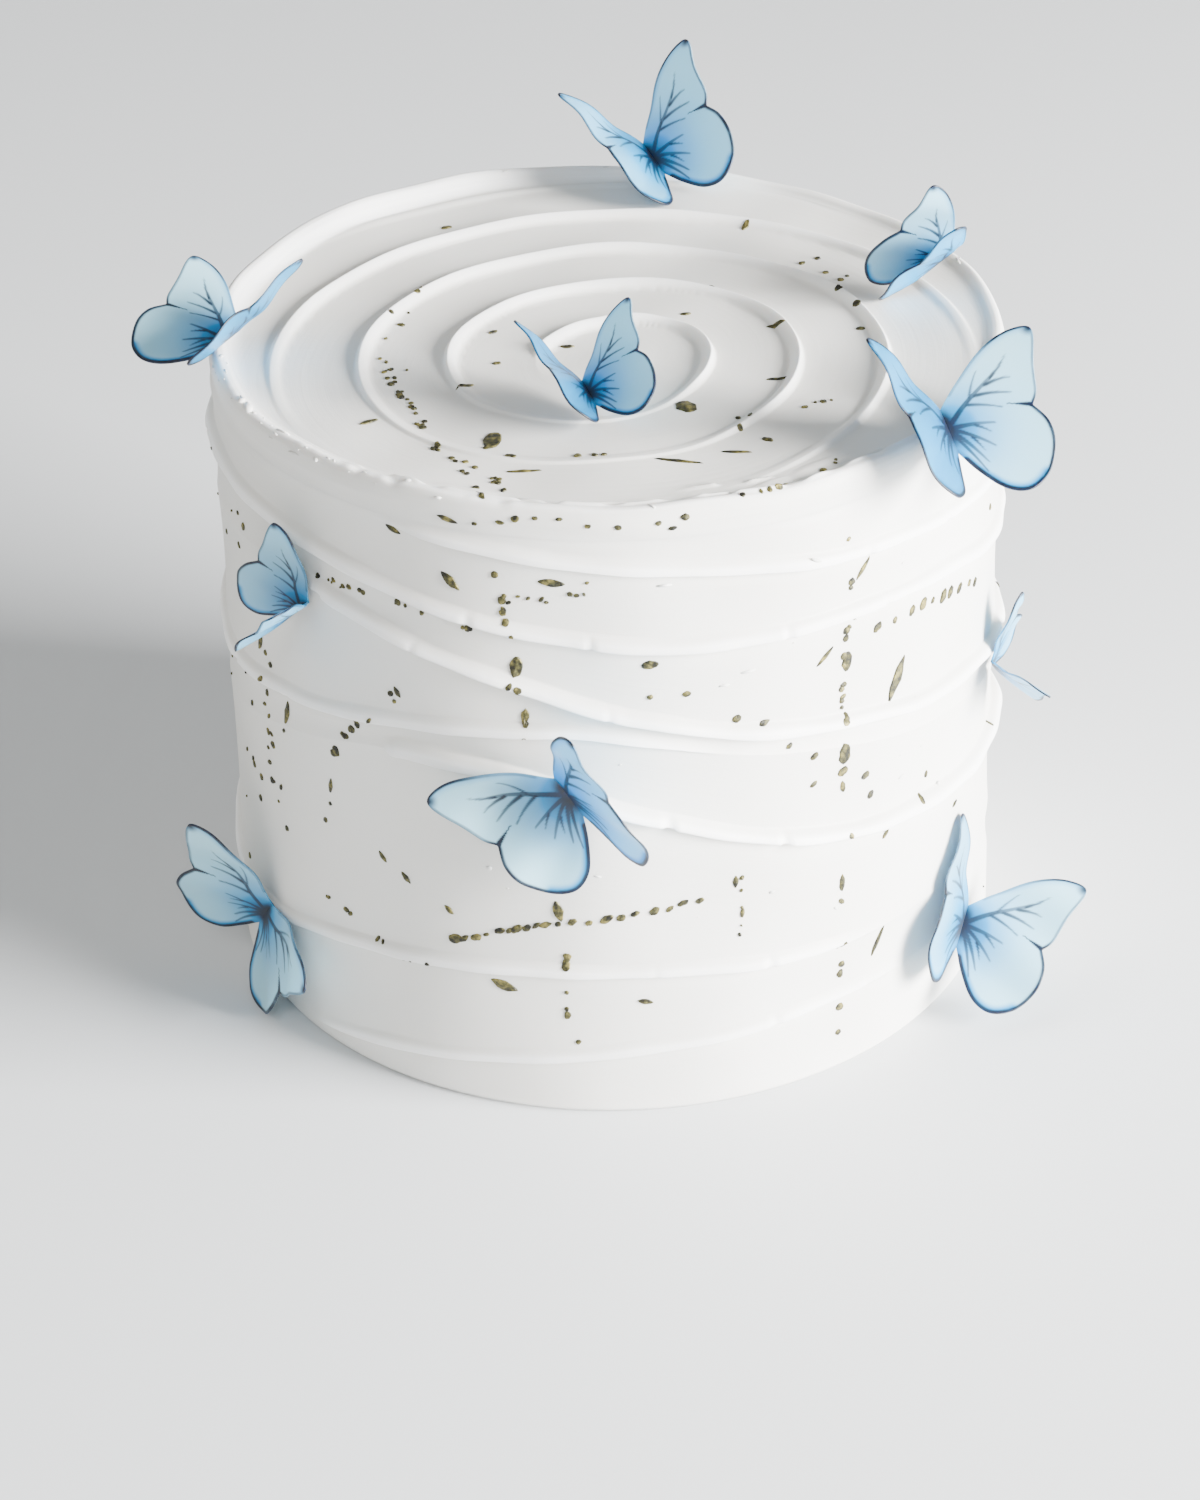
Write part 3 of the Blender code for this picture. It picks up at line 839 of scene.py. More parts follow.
@dataclass
class TopIcing:
    """The top: one ridge that winds out clockwise, and the broad ragged rim.

    Sizes are in mm, directions in degrees and cycles in waves for each turn. The ridge starts at
    start from the swirl's centre and winds out by pitch a turn, bent once and twice a turn. It
    fades towards the rim and the front, by front_span's slope and shift, and the turns before its
    start only shape the rings. Any other span is where an ease begins and how wide it is. The
    thin lines run along the front of the rim. The ridge, the rim's crest and the high stretch of
    the rim at the back left get a painted highlight: a whiter colour where they catch the light.
    """

    start: float = 13.0
    pitch: float = 17.5
    wave: float = 4.2
    second_wave: float = 1.6
    turns: tuple[int, ...] = tuple(range(-2, 5))
    ridge: float = 1.5
    ridge_inner: float = 2.1
    ridge_outer: float = 1.1
    ridge_dome: Point = (0.6, 0.4)
    ridge_begin: float = 0.06
    ridge_torn: float = 0.13
    ridge_cycles: tuple[int, ...] = (3, 5, 8)
    # painted highlight: how much whiter colour the ridge's bead gets
    ridge_painted_highlight: float = 0.42
    fine_rings: int = 500
    crowding: float = 6.0
    crowded_width: float = 1.5
    hollow: float = 0.3
    pole: float = 8.0
    fade: float = 14.0
    front_fade: float = 0.78
    front_span: Point = (1.4, -0.3)
    fade_towards: Point = (-0.30, -0.95)
    disc_rings: int = 128
    rim_rings: int = 34
    rim_line: tuple[Point, ...] = (
        (75.5, 137.0), (76.6, 137.3), (77.5, 137.9), (78.4, 138.15), (79.2, 138.0),
        (79.8, 137.2), (80.15, 136.0), (80.3, 134.6), (80.15, 133.0), (80.08, TOP_SEAM))
    uneven: float = 0.22

    rim_ease: float = 3.0
    rim_wobble: float = 0.2
    wobble_cycles: tuple[int, ...] = (6, 11, 17)
    rim_sweep: float = 100.0
    crest_radius: float = 78.6
    crest_width: float = 1.1
    # painted highlight: the whiter colour on the rim's outer crest and the span it rises over
    rim_painted_highlight: float = 0.35
    rim_painted_highlight_span: Point = (0.2, 1.2)
    coarse: float = 0.2
    coarse_cycles: tuple[int, ...] = (4, 7, 12, 19)
    rough: float = 0.30
    rough_cycles: tuple[int, ...] = (29, 47, 71, 113)
    rough_towards: float = 318.0
    rough_spread: float = 34.0
    cluster_cycles: tuple[int, ...] = (7, 13, 22)
    cluster_share: float = 0.2
    line_rise: float = 0.75
    line_width: float = 0.42
    line_ends: float = 8.0
    line_cycles: tuple[int, ...] = (4, 9, 15)
    line_breaks: tuple[int, ...] = (17, 29, 43)
    line_share: float = 0.75
    lines: tuple[RimLine, ...] = (
        RimLine(77.4, 0.6, -42.0, 62.0), RimLine(75.6, 1.0, -28.0, 50.0),
        RimLine(73.6, 1.5, 8.0, 40.0))

    high_rim: float = 225.0
    high_rim_spread: float = 42.0
    high_rim_rise: float = 2.2
    high_rim_span: Point = (73.5, 3.6)
    # painted light: how much whiter the high stretch of the rim at the back left is made where the light
    # falls on it
    bright: float = 0.6
    painted_light_spread: float = 62.0
    painted_light_radii: Point = (72.5, 2.5)
    painted_light_heights: Point = (-4.5, 4.0)

    def swirl_radius(self, turned: np.ndarray) -> np.ndarray:
        """Works out where the ridge runs.

        Args:
            turned: How many turns it has made since its start.

        Returns:
            Its distance from the swirl's centre, in mm.
        """
        ripple = self.wave * np.cos(2.0 * np.pi * turned)
        ripple -= self.second_wave * np.sin(4.0 * np.pi * turned)
        return self.start + self.pitch * turned + ripple

    def directions(self) -> tuple[np.ndarray, np.ndarray]:
        """Gives the columns' directions from the swirl's centre, clockwise from the left."""
        angles = math.pi - 2.0 * np.pi * np.arange(COLUMNS) / COLUMNS
        return np.cos(angles), np.sin(angles)

    def limits(self) -> np.ndarray:
        """Works out how far the flat top reaches.

        Returns:
            Each column's distance from the swirl's centre to the rim's inner circle, in mm.
        """
        x, y = self.directions()
        along = SWIRL_CENTRE.x * x + SWIRL_CENTRE.y * y
        reach = DISC_RADIUS ** 2 - SWIRL_CENTRE.length_squared
        return -along + np.sqrt(along ** 2 + reach)

    def around(self) -> np.ndarray:
        """Works out where the columns meet the rim.

        Returns:
            Each column's direction round the cake there, in degrees.
        """
        x, y = self.directions()
        limit = self.limits()
        return around_of(SWIRL_CENTRE.x + x * limit, SWIRL_CENTRE.y + y * limit)

    def ring_distances(self, limit: np.ndarray) -> np.ndarray:
        """Spaces the rings so that they crowd along the ridge.

        Args:
            limit: Each column's distance to the rim.

        Returns:
            Distances from the swirl's centre, rings by columns.
        """
        fine = np.linspace(0.0, 1.0, self.fine_rings)[:, None] * limit[None, :]
        turn = np.arange(COLUMNS) / COLUMNS
        density = np.ones_like(fine)
        for whole in self.turns:
            gap = fine - self.swirl_radius(turn + whole)
            density += self.crowding * bell(gap, self.crowded_width)
        amount = np.cumsum(density, axis=0)
        amount = (amount - amount[0]) / (amount[-1] - amount[0])
        shares = np.linspace(0.0, 1.0, self.disc_rings)
        columns = [np.interp(shares, amount[:, column], fine[:, column]) for column in range(COLUMNS)]
        return np.array(columns).T

    def swirl_relief(self, distance: np.ndarray,
                     limit: np.ndarray) -> tuple[np.ndarray, np.ndarray, np.ndarray]:
        """Works out the swirl's relief.

        Args:
            distance: Distances from the swirl's centre, rings by columns.
            limit: Each column's distance to the rim.

        Returns:
            The height over the plain top, the place across the sweeps, in mm, and the share
            of painted highlight on the ridge.
        """
        turn = np.arange(COLUMNS) / COLUMNS
        height, crest = np.zeros_like(distance), np.zeros_like(distance)
        sweep = distance * 1.0
        hollow = self.hollow * smoothstep(distance / self.pole)
        for whole in self.turns:
            inner, outer = self.swirl_radius(turn + whole), self.swirl_radius(turn + whole + 1.0)
            gap = distance - inner
            torn = waves(360.0 * (turn + whole), self.ridge_cycles, Seed.RIDGE)
            inward = flank(np.clip(-gap / self.ridge_inner, 0.0, 1.0), *self.ridge_dome)
            outward = 1.0 - smoothstep(gap / self.ridge_outer)
            begins = smoothstep((turn + whole) / self.ridge_begin)
            bead = begins * np.where(gap < 0.0, inward, outward)
            height += self.ridge * (1.0 + self.ridge_torn * torn) * bead
            # painted highlight on the ridge's bead
            crest += bead
            share = (distance - inner) / (outer - inner)
            inside = (share >= 0.0) & (share < 1.0)
            height -= np.where(inside, bow(share, hollow), 0.0)
            sweep = np.where(inside, self.pitch * (whole + turn + share), sweep)
        faded = np.clip((limit - distance) / self.fade, 0.0, 1.0)
        x, y = self.directions()
        towards = self.fade_towards[0] * x + self.fade_towards[1] * y
        slope, shift = self.front_span
        faded = faded * (1.0 - self.front_fade * smoothstep(slope * towards + shift))
        return height * faded, sweep, self.ridge_painted_highlight * crest * faded

    def rim_tears(self, around: np.ndarray, radius: np.ndarray) -> np.ndarray:
        """Works out the torn crest of the rim, its high stretch and the thin lines on it.

        Args:
            around: Directions in degrees.
            radius: Distances from the cake's axis.

        Returns:
            Heights to add, in mm.
        """
        clusters = waves(around, self.cluster_cycles, Seed.RIM_CLUSTERS) + self.cluster_share
        rough = bell(around - self.rough_towards, self.rough_spread) * smoothstep(clusters)
        coarse = waves(around, self.coarse_cycles, Seed.RIM_COARSE)
        fine = waves(around, self.rough_cycles, Seed.RIM_FINE)
        lift = bell(radius - self.crest_radius, self.crest_width)
        lift = lift * (self.coarse * coarse + self.rough * rough * fine)
        high = bell(around - self.high_rim, self.high_rim_spread)
        begin, width = self.high_rim_span
        lift += self.high_rim_rise * high * smoothstep((radius - begin) / width)
        for line in self.lines:
            lift += self.line_rise * self.line_share_at(line, around, radius)
        return lift

    def line_share_at(self, line: RimLine, around: np.ndarray, radius: np.ndarray) -> np.ndarray:
        """Works out how fully a thin line of the rim stands up.

        Args:
            line: The line, whose radius also seeds how it strays and breaks.
            around: Directions in degrees.
            radius: Distances from the cake's axis.

        Returns:
            Values from 0 to 1.
        """
        along, length = (around - line.first) % 360.0, line.last - line.first
        ends = smoothstep(along / self.line_ends) * smoothstep((length - along) / self.line_ends)
        breaks = waves(around, self.line_breaks, int(line.radius * 10))
        middle = line.radius + line.stray * waves(around, self.line_cycles, int(line.radius))
        across = bell(radius - middle, self.line_width) * smoothstep(breaks + self.line_share)
        return across * np.where(along < length, ends, 0.0)

    def rim_rows(self, around: np.ndarray) -> tuple[np.ndarray, np.ndarray, np.ndarray]:
        """Spaces the rim's rings evenly over its profile.

        Args:
            around: Direction of each column.

        Returns:
            Radius, height over the plain top and place across the sweeps of rings by columns.
        """
        line = np.array(self.rim_line)
        lengths = path_lengths(line)
        samples = np.linspace(0.0, lengths[-1], self.rim_rings + 1)[1:]
        radius = np.interp(samples, lengths, line[:, 0])[:, None] + 0.0 * around
        height = np.interp(samples, lengths, line[:, 1])[:, None] - CAKE_HEIGHT + 0.0 * around
        return radius, height, self.rim_sweep + samples[:, None] + 0.0 * around

    def painted_rim_light(self, around: np.ndarray, radius: np.ndarray,
                   height: np.ndarray) -> np.ndarray:
        """Works out the painted light on the high stretch of the rim, in the crests' whiter colour.

        Args:
            around: Directions in degrees.
            radius: Distances from the cake's axis, in mm.
            height: Heights over the plain top, in mm.

        Returns:
            Shares of painted highlight.
        """
        bright = bell(around - self.high_rim, self.painted_light_spread)
        for value, (begin, width) in ((radius, self.painted_light_radii), (height, self.painted_light_heights)):
            bright = bright * smoothstep((value - begin) / width)
        return self.bright * bright

    def make(self) -> bpy.types.Object:
        """Spins the top and winds the ridge into it.

        Returns:
            The top, from the pole at the swirl's centre to the seam with the wall.
        """
        limit = self.limits()
        x, y = self.directions()
        around = self.around()
        distance = self.ring_distances(limit)
        height, sweep, crest = self.swirl_relief(distance, limit)
        rim_radius, rim_height, rim_sweep = self.rim_rows(around)
        angles = np.radians(around - 90.0)
        edge = smoothstep((rim_height + CAKE_HEIGHT - TOP_SEAM) / self.rim_ease)
        wobble = waves(around, self.wobble_cycles, Seed.RIM_OUTLINE)
        rim_radius = rim_radius + edge * self.rim_wobble * wobble
        all_x = np.concatenate((SWIRL_CENTRE.x + distance * x, rim_radius * np.cos(angles)))
        all_y = np.concatenate((SWIRL_CENTRE.y + distance * y, rim_radius * np.sin(angles)))
        all_z = np.concatenate((height, rim_height))
        radius = np.hypot(all_x, all_y)
        everywhere = around_of(all_x, all_y)
        on_top = np.concatenate((np.ones_like(height), edge))
        spread = self.rim_tears(everywhere, radius) + self.uneven * dips(all_x, all_y, Seed.DIPS)
        all_z = all_z + on_top * spread
        # painted highlight on the rim's outer crest, joined with the painted light of the high stretch
        lowest, span = self.rim_painted_highlight_span
        rim_painted_highlight_share = self.rim_painted_highlight * smoothstep((rim_height - lowest) / span)
        all_painted_highlight = np.maximum(np.concatenate((crest, rim_painted_highlight_share)),
                               self.painted_rim_light(everywhere, radius, all_z))
        points = np.stack((all_x, all_y, all_z + CAKE_HEIGHT, np.concatenate((sweep, rim_sweep)),
                           all_painted_highlight), axis=2)
        return round_shell("icing_top", points)


def face_outwards(thing: bpy.types.Object, inside: Vector, samples: int = 500) -> None:
    """Closes a shell at its rim, turns its faces away from a point inside it and smooths it.

    Args:
        thing: The shell.
        inside: The point, in metres.
        samples: About how many faces are asked which way they look.
    """
    shell = bmesh.new()
    shell.from_mesh(thing.data)
    rim = [edge for edge in shell.edges if edge.is_boundary]
    bmesh.ops.holes_fill(shell, edges=rim, sides=0)
    for edge in rim:
        edge.smooth = False
    bmesh.ops.recalc_face_normals(shell, faces=shell.faces[:])
    shell.faces.ensure_lookup_table()
    sample = list(shell.faces)[::max(1, len(shell.faces) // samples)]
    agreed = sum(face.normal.dot(face.calc_center_median() - inside) for face in sample)
    if agreed < 0.0:
        bmesh.ops.reverse_faces(shell, faces=shell.faces[:])
    shell.to_mesh(thing.data)
    shell.free()
    thing.data.shade_smooth()


class Surface:
    """The finished icing, asked where a line meets it."""

    def __init__(self, *things: bpy.types.Object) -> None:
        """Reads the pieces that make up the surface."""
        graph = bpy.context.evaluated_depsgraph_get()
        self.trees = [BVHTree.FromObject(thing, graph) for thing in things]

    def cast(self, start: Vector, direction: Vector) -> tuple[Vector, Vector] | None:
        """Finds where a line first meets the icing, in metres.

        Args:
            start: Start of the line.
            direction: Its direction.

        Returns:
            The point and the surface's normal, or None where the line misses.
        """
        hits = [tree.ray_cast(start, direction) for tree in self.trees]
        hits = [hit for hit in hits if hit[0] is not None]
        if not hits:
            return None
        point, normal, _, _ = min(hits, key=lambda hit: hit[3])
        return point, normal

    def cleared(self, point: Vector, gap: float) -> Vector:
        """Moves a point out of the icing, up or away from the axis, whichever is the shorter way.

        Args:
            point: The point, in metres.
            gap: How far outside the icing it ends up, if it was in it.

        Returns:
            The point, moved where it had to be.
        """
        away = Vector((point.x, point.y, 0.0)).normalized()
        side = self.cast(away * 2.0 * BASE_RADIUS * MM + ZENITH * point.z, -away)
        top = self.cast(Vector((point.x, point.y, 2.0 * CAKE_HEIGHT * MM)), -ZENITH)
        if side is None or top is None:
            return point
        outward, upward = (side[0] - point).dot(away), top[0].z - point.z
        if min(outward, upward) <= 0.0:
            return point
        return point + (away * (outward + gap) if outward < upward else ZENITH * (upward + gap))

    def on_side(self, around: float, height: float) -> Matrix:
        """Finds a place on the wall.

        Args:
            around: Its direction round the cake.
            height: Its height in mm.

        Returns:
            The frame there, with +Y up the wall and +Z out of it.
        """
        start = polar(around, 2.0 * BASE_RADIUS, height) * MM
        point, _ = self.cast(start, -polar(around, 1.0))
        return frame_at(point, ZENITH, polar(around, 1.0))

    def on_top(self, x: float, y: float) -> Matrix:
        """Gives the frame on the top at x and y in mm."""
        point, _ = self.cast(Vector((x, y, 2.0 * CAKE_HEIGHT)) * MM, -ZENITH)
        return frame_at(point, Vector((0.0, 1.0, 0.0)), ZENITH)


@dataclass(frozen=True)
class Fleck:
    """One drop of gold leaf: its place, length, width and lean, in mm and degrees."""

    first: float
    second: float
    length: float
    width: float
    lean: float


@dataclass(frozen=True)
class Trail:
    """Small flecks strung along a line of places, with some scatter.

    Where lean is given, the flecks are evenly spaced and slim and all lean that way, in degrees.
    """

    points: tuple[Point, ...]
    count: int
    size: float
    scatter: float = 1.0
    lean: float | None = None


@dataclass
class GoldLeaf:
    """All the gold leaf: large flecks one by one, and trails and sprays of small ones.

    side holds flecks by direction and height, top by their place from the axis, right and back.
    A drop is drawn a little larger than stated, ragged by a random share of its length and width,
    and a slim one, some times longer than wide, narrows by slim_taper towards its ends.
    """

    side: tuple[Fleck, ...] = (
        Fleck(-22, 120.5, 5.0, 1.7, -40), Fleck(-8, 122.4, 5.4, 1.5, -5), Fleck(5, 105, 3.4, 1.7, 8),
        Fleck(43.6, 88.0, 9.6, 2.3, 62), Fleck(36.8, 116, 5.4, 0.9, 52), Fleck(30.6, 99.5, 5.0, 0.8, 42),
        Fleck(-8, 49.2, 5.0, 2.0, -78), Fleck(-16, 30.0, 5.8, 2.2, -20), Fleck(4, 27.5, 3.4, 1.1, -12),
        Fleck(-54, 75.5, 6.0, 1.5, 80), Fleck(-61, 87.0, 4.0, 1.3, 70), Fleck(-31, 50.0, 3.0, 1.1, -45),
        Fleck(-24, 45.5, 2.6, 1.0, -40), Fleck(41, 27.5, 7.4, 1.1, 64), Fleck(-13, 104, 4.4, 2.1, 85),
        Fleck(34.5, 96.5, 4.4, 2.0, 88), Fleck(34.2, 76.0, 4.8, 2.5, 90), Fleck(-12, 93.0, 3.6, 1.6, 82),
        Fleck(34, 72.0, 2.6, 1.8, 20), Fleck(34, 68.5, 2.8, 1.1, 95), Fleck(34, 46.0, 4.2, 1.3, 88),
        Fleck(-31, 93.0, 2.6, 1.0, -55), Fleck(-35, 53.0, 3.0, 0.9, -50), Fleck(-44, 65, 3.8, 1.0, 82),
        Fleck(17, 91.0, 2.0, 1.4, 5), Fleck(38, 69.0, 2.2, 1.4, 32), Fleck(42, 53.0, 2.6, 1.0, 48),
        Fleck(-7, 36.8, 2.4, 1.5, 90), Fleck(-7, 24.0, 2.0, 1.3, 90), Fleck(17, 53.5, 3.0, 1.0, 88),
        Fleck(18, 46.0, 2.6, 0.8, 84), Fleck(-30.5, 128.5, 3.6, 1.0, -22), Fleck(-22, 133.5, 4.4, 1.0, -14),
        Fleck(88, 58, 4.2, 1.6, 30), Fleck(118, 96, 5.0, 1.6, -35), Fleck(140, 40, 4.4, 1.8, 60),
        Fleck(165, 84, 5.4, 1.7, 15), Fleck(196, 52, 4.0, 1.5, -60), Fleck(222, 104, 4.6, 1.6, 40),
        Fleck(250, 66, 4.2, 1.5, 75), Fleck(268, 36, 3.4, 1.3, -25), Fleck(39, 64, 2.0, 1.2, 55),
        Fleck(49, 57, 1.9, 1.0, 60), Fleck(5, 98, 1.3, 0.9, 0), Fleck(29, 78, 2.1, 1.3, 40),
        Fleck(29, 71.5, 1.9, 0.9, 30), Fleck(21, 89, 2.6, 0.9, 8), Fleck(25, 82, 1.7, 0.9, 30),
        Fleck(60, 47, 2.0, 0.9, 30), Fleck(51, 61, 1.6, 0.8, 70), Fleck(10, 98, 1.8, 1.1, 5),
    )
    top: tuple[Fleck, ...] = (
        Fleck(-22, -50, 6.6, 3.2, 80), Fleck(15, -37, 5.0, 3.4, 115), Fleck(-16, -62.5, 6.6, 0.7, 2),
        Fleck(13, -59, 9.4, 0.8, -8), Fleck(24, -55.5, 6.0, 0.7, -5), Fleck(33, -25, 4.2, 0.8, 4),
        Fleck(-28, -27, 4.4, 0.9, 35), Fleck(-46, -41, 4.2, 1.3, 32), Fleck(-34, 51, 2.6, 1.3, 20),
        Fleck(34, -2, 4.0, 1.1, -12), Fleck(-8, -9, 3.0, 1.3, 0), Fleck(30, 48, 3.0, 1.3, 60),
        Fleck(16, 5, 2.4, 1.0, 10), Fleck(22, 16, 2.2, 1.0, -20), Fleck(30, -51, 2.6, 1.2, -35),
        Fleck(-23, -53, 1.8, 0.9, 10), Fleck(-23, -2, 2.2, 1.0, 40), Fleck(-22, -16, 1.9, 1.0, 20),
    )
    side_trails: tuple[Trail, ...] = (
        Trail(((-16, 125), (-13.5, 112), (-13, 100), (-12, 84), (-10, 70)), 15, 1.3, 0.8),
        Trail(((-7, 46), (-7, 28), (-5, 14)), 6, 1.2, 0.5),
        Trail(((34, 130), (35, 116), (34, 100), (34, 84), (34, 60), (34, 30), (34, 9)), 30, 1.5, 0.5),
        Trail(((38, 101.5), (49, 101.5), (57, 99), (66, 95.5)), 10, 2.5, 0.4, 58.0),
        Trail(((-24, 38.5), (-16, 43), (-9, 46), (2, 48.5), (13, 50.5)), 20, 2.3, 0.4, 32.0),
        Trail(((-47, 112), (-38, 112.5), (-28, 113), (-19, 111)), 18, 1.1, 0.7),
        Trail(((-47, 37), (-40, 35), (-33, 31), (-26, 32)), 9, 1.2, 0.8),
        Trail(((18, 56), (18, 40)), 7, 1.0, 0.5),
        Trail(((-57, 90), (-59, 78), (-60, 62), (-56, 46)), 16, 1.4, 1.8),
        Trail(((-31, 93), (-36, 86), (-41, 78), (-44, 68), (-46, 52)), 14, 1.4, 1.4),
        Trail(((-67, 112), (-63, 96), (-66, 70), (-65, 48)), 12, 1.5, 2.0),
        Trail(((-14, 117), (-9, 118.5), (0, 125)), 9, 1.1, 1.6),
        Trail(((-19, 133), (-12, 136), (-5, 135.5), (6, 134.8), (12, 134.5)), 10, 1.6, 0.9, 0.0),
    )
    top_trails: tuple[Trail, ...] = (
        Trail(((-46, -8), (-43, -20), (-40, -30), (-36, -42), (-32, -52), (-28, -60), (-23, -76)),
              38, 1.3, 1.2),
        Trail(((-27, -58), (-22, -64), (-19, -70)), 9, 1.5, 1.6),
        Trail(((-22, -57), (-12, -57), (2, -57)), 7, 1.7, 0.5),
        Trail(((-38, 20), (-44, 0), (-41, -20)), 8, 1.3, 3.0),
        Trail(((26, -77), (34, -70), (44, -60)), 8, 1.2, 2.0),
        Trail(((14, -48), (30, -44), (46, -30)), 7, 1.2, 3.0),
        Trail(((50, -10), (48, 20), (36, 44)), 9, 1.5, 4.0),
    )
    spray_count: int = 70
    spray_around: Point = (70.0, 310.0)
    spray_heights: Point = (8.0, 130.0)
    spray_lengths: Point = (0.6, 1.7)
    trail_lengths: Point = (0.6, 1.35)
    widths: Point = (0.5, 0.9)
    slimmer: float = 0.8
    trail_turn: float = 0.15
    sides: int = 14
    slim_from: float = 2.2
    slim_taper: float = 0.495
    length_scale: float = 1.08
    length_ragged: Point = (0.94, 1.06)
    width_scale: float = 1.25
    width_ragged: Point = (0.84, 1.14)
    thickness: float = 0.28
    upper_scale: float = 0.82
    upper_heights: Point = (0.6, 1.0)
    hub_height: float = 1.25
    sunk: float = 0.15
    cast_from: float = 4.0
    reach: float = 7.0
    top_reach: float = 78.6
    below_rim: float = 1.0

    def outline(self, mesh: bmesh.types.BMesh, fleck: Fleck, rng: np.random.Generator) -> list:
        """Draws a fleck's ragged drop and gives it its thickness, flat in its own frame.

        Args:
            mesh: The bmesh that takes it.
            fleck: The fleck.
            rng: Source of the raggedness.

        Returns:
            Its vertices, in mm.
        """
        made = bmesh.ops.create_circle(mesh, cap_ends=True, segments=self.sides, radius=0.5)
        verts = made["verts"]
        taper = self.slim_taper if fleck.length > self.slim_from * fleck.width else 0.0
        lean = Matrix.Rotation(math.radians(fleck.lean), 3, "Z")
        for vert in verts:
            narrow = 1.0 - taper * (2.0 * vert.co.x) ** 2
            ragged = rng.uniform(*self.width_ragged)
            vert.co.x *= self.length_scale * fleck.length * rng.uniform(*self.length_ragged)
            vert.co.y *= self.width_scale * fleck.width * narrow * ragged
            vert.co = lean @ vert.co
        raised = bmesh.ops.extrude_face_region(mesh, geom=[verts[0].link_faces[0]])["geom"]
        upper = [part for part in raised if isinstance(part, bmesh.types.BMVert)]
        lid = [part for part in raised if isinstance(part, bmesh.types.BMFace)]
        middle = sum((vert.co for vert in upper), Vector()) / len(upper)
        for vert in upper:
            vert.co = middle + (vert.co - middle) * self.upper_scale
            vert.co.z = self.thickness * rng.uniform(*self.upper_heights)
        hub = bmesh.ops.poke(mesh, faces=lid)["verts"]
        hub[0].co.z = self.thickness * self.hub_height
        for vert in verts:
            vert.co.z = -self.sunk
        return verts + upper + hub

    def lay(self, mesh: bmesh.types.BMesh, surface: Surface, place: Matrix, fleck: Fleck,
            rng: np.random.Generator) -> None:
        """Lays one fleck on the icing, each of its points on the surface under it.

        Args:
            mesh: The bmesh that takes it.
            surface: The icing.
            place: The frame on the icing at its middle.
            fleck: The fleck.
            rng: Source of its raggedness.
        """
        out, lift = place.col[2].to_3d(), self.cast_from * MM
        for vert in self.outline(mesh, fleck, rng):
            over = place @ Vector((vert.co.x * MM, vert.co.y * MM, lift))
            hit = surface.cast(over, -out)
            near = hit is not None and (hit[0] - over).length < self.reach * MM
            vert.co = (hit[0] if near else over - out * lift) + out * (vert.co.z * MM)

    def strung(self, trail: Trail, rng: np.random.Generator) -> list[Fleck]:
        """Draws the flecks of a trail.

        Args:
            trail: The trail.
            rng: Source of its scatter.

        Returns:
            The flecks.
        """
        points = np.array(trail.points, float)
        shares = np.linspace(0.0, 1.0, len(points))
        made = []
        even = (np.arange(trail.count) + 0.5) / trail.count
        loose = np.sort(rng.uniform(0.0, 1.0, trail.count))
        for share in loose if trail.lean is None else even:
            first, second = (np.interp(share, shares, points[:, axis]) for axis in (0, 1))
            first, second = rng.normal((first, second), 0.5 * trail.scatter)
            length = trail.size * rng.uniform(*self.trail_lengths)
            width, lean = length * rng.uniform(*self.widths), rng.uniform(-90.0, 90.0)
            if trail.lean is not None:
                width, lean = self.slimmer * width, trail.lean + self.trail_turn * lean
            made.append(Fleck(first, second, length, width, lean))
        return made

    def spray(self, rng: np.random.Generator) -> list[Fleck]:
        """Draws single small flecks all over the back of the wall.

        Args:
            rng: Source of their places and sizes.

        Returns:
            The flecks.
        """
        made = []
        for _ in range(self.spray_count):
            length = rng.uniform(*self.spray_lengths)
            made.append(Fleck(rng.uniform(*self.spray_around), rng.uniform(*self.spray_heights),
                              length, length * rng.uniform(*self.widths), rng.uniform(-90.0, 90.0)))
        return made

    def make(self, surface: Surface) -> bpy.types.Object:
        """Lays all the flecks as one piece.

        Args:
            surface: The icing.

        Returns:
            The piece.
        """
        mesh = bmesh.new()
        rng = np.random.default_rng(Seed.LEAF)
        on_side = [*self.side, *self.spray(rng)]
        for trail in self.side_trails:
            on_side += self.strung(trail, rng)
        on_top = list(self.top)
        for trail in self.top_trails:
            on_top += self.strung(trail, rng)
        for fleck in on_side:
            height = min(fleck.second, CAKE_HEIGHT - self.below_rim)
            self.lay(mesh, surface, surface.on_side(fleck.first, height), fleck, rng)
        for fleck in on_top:
            spot = Vector((fleck.first, fleck.second))
            spot *= min(1.0, self.top_reach / spot.length)
            self.lay(mesh, surface, surface.on_top(spot.x, spot.y), fleck, rng)
        bmesh.ops.recalc_face_normals(mesh, faces=mesh.faces[:])
        return mesh_object(mesh, "gold_leaf")


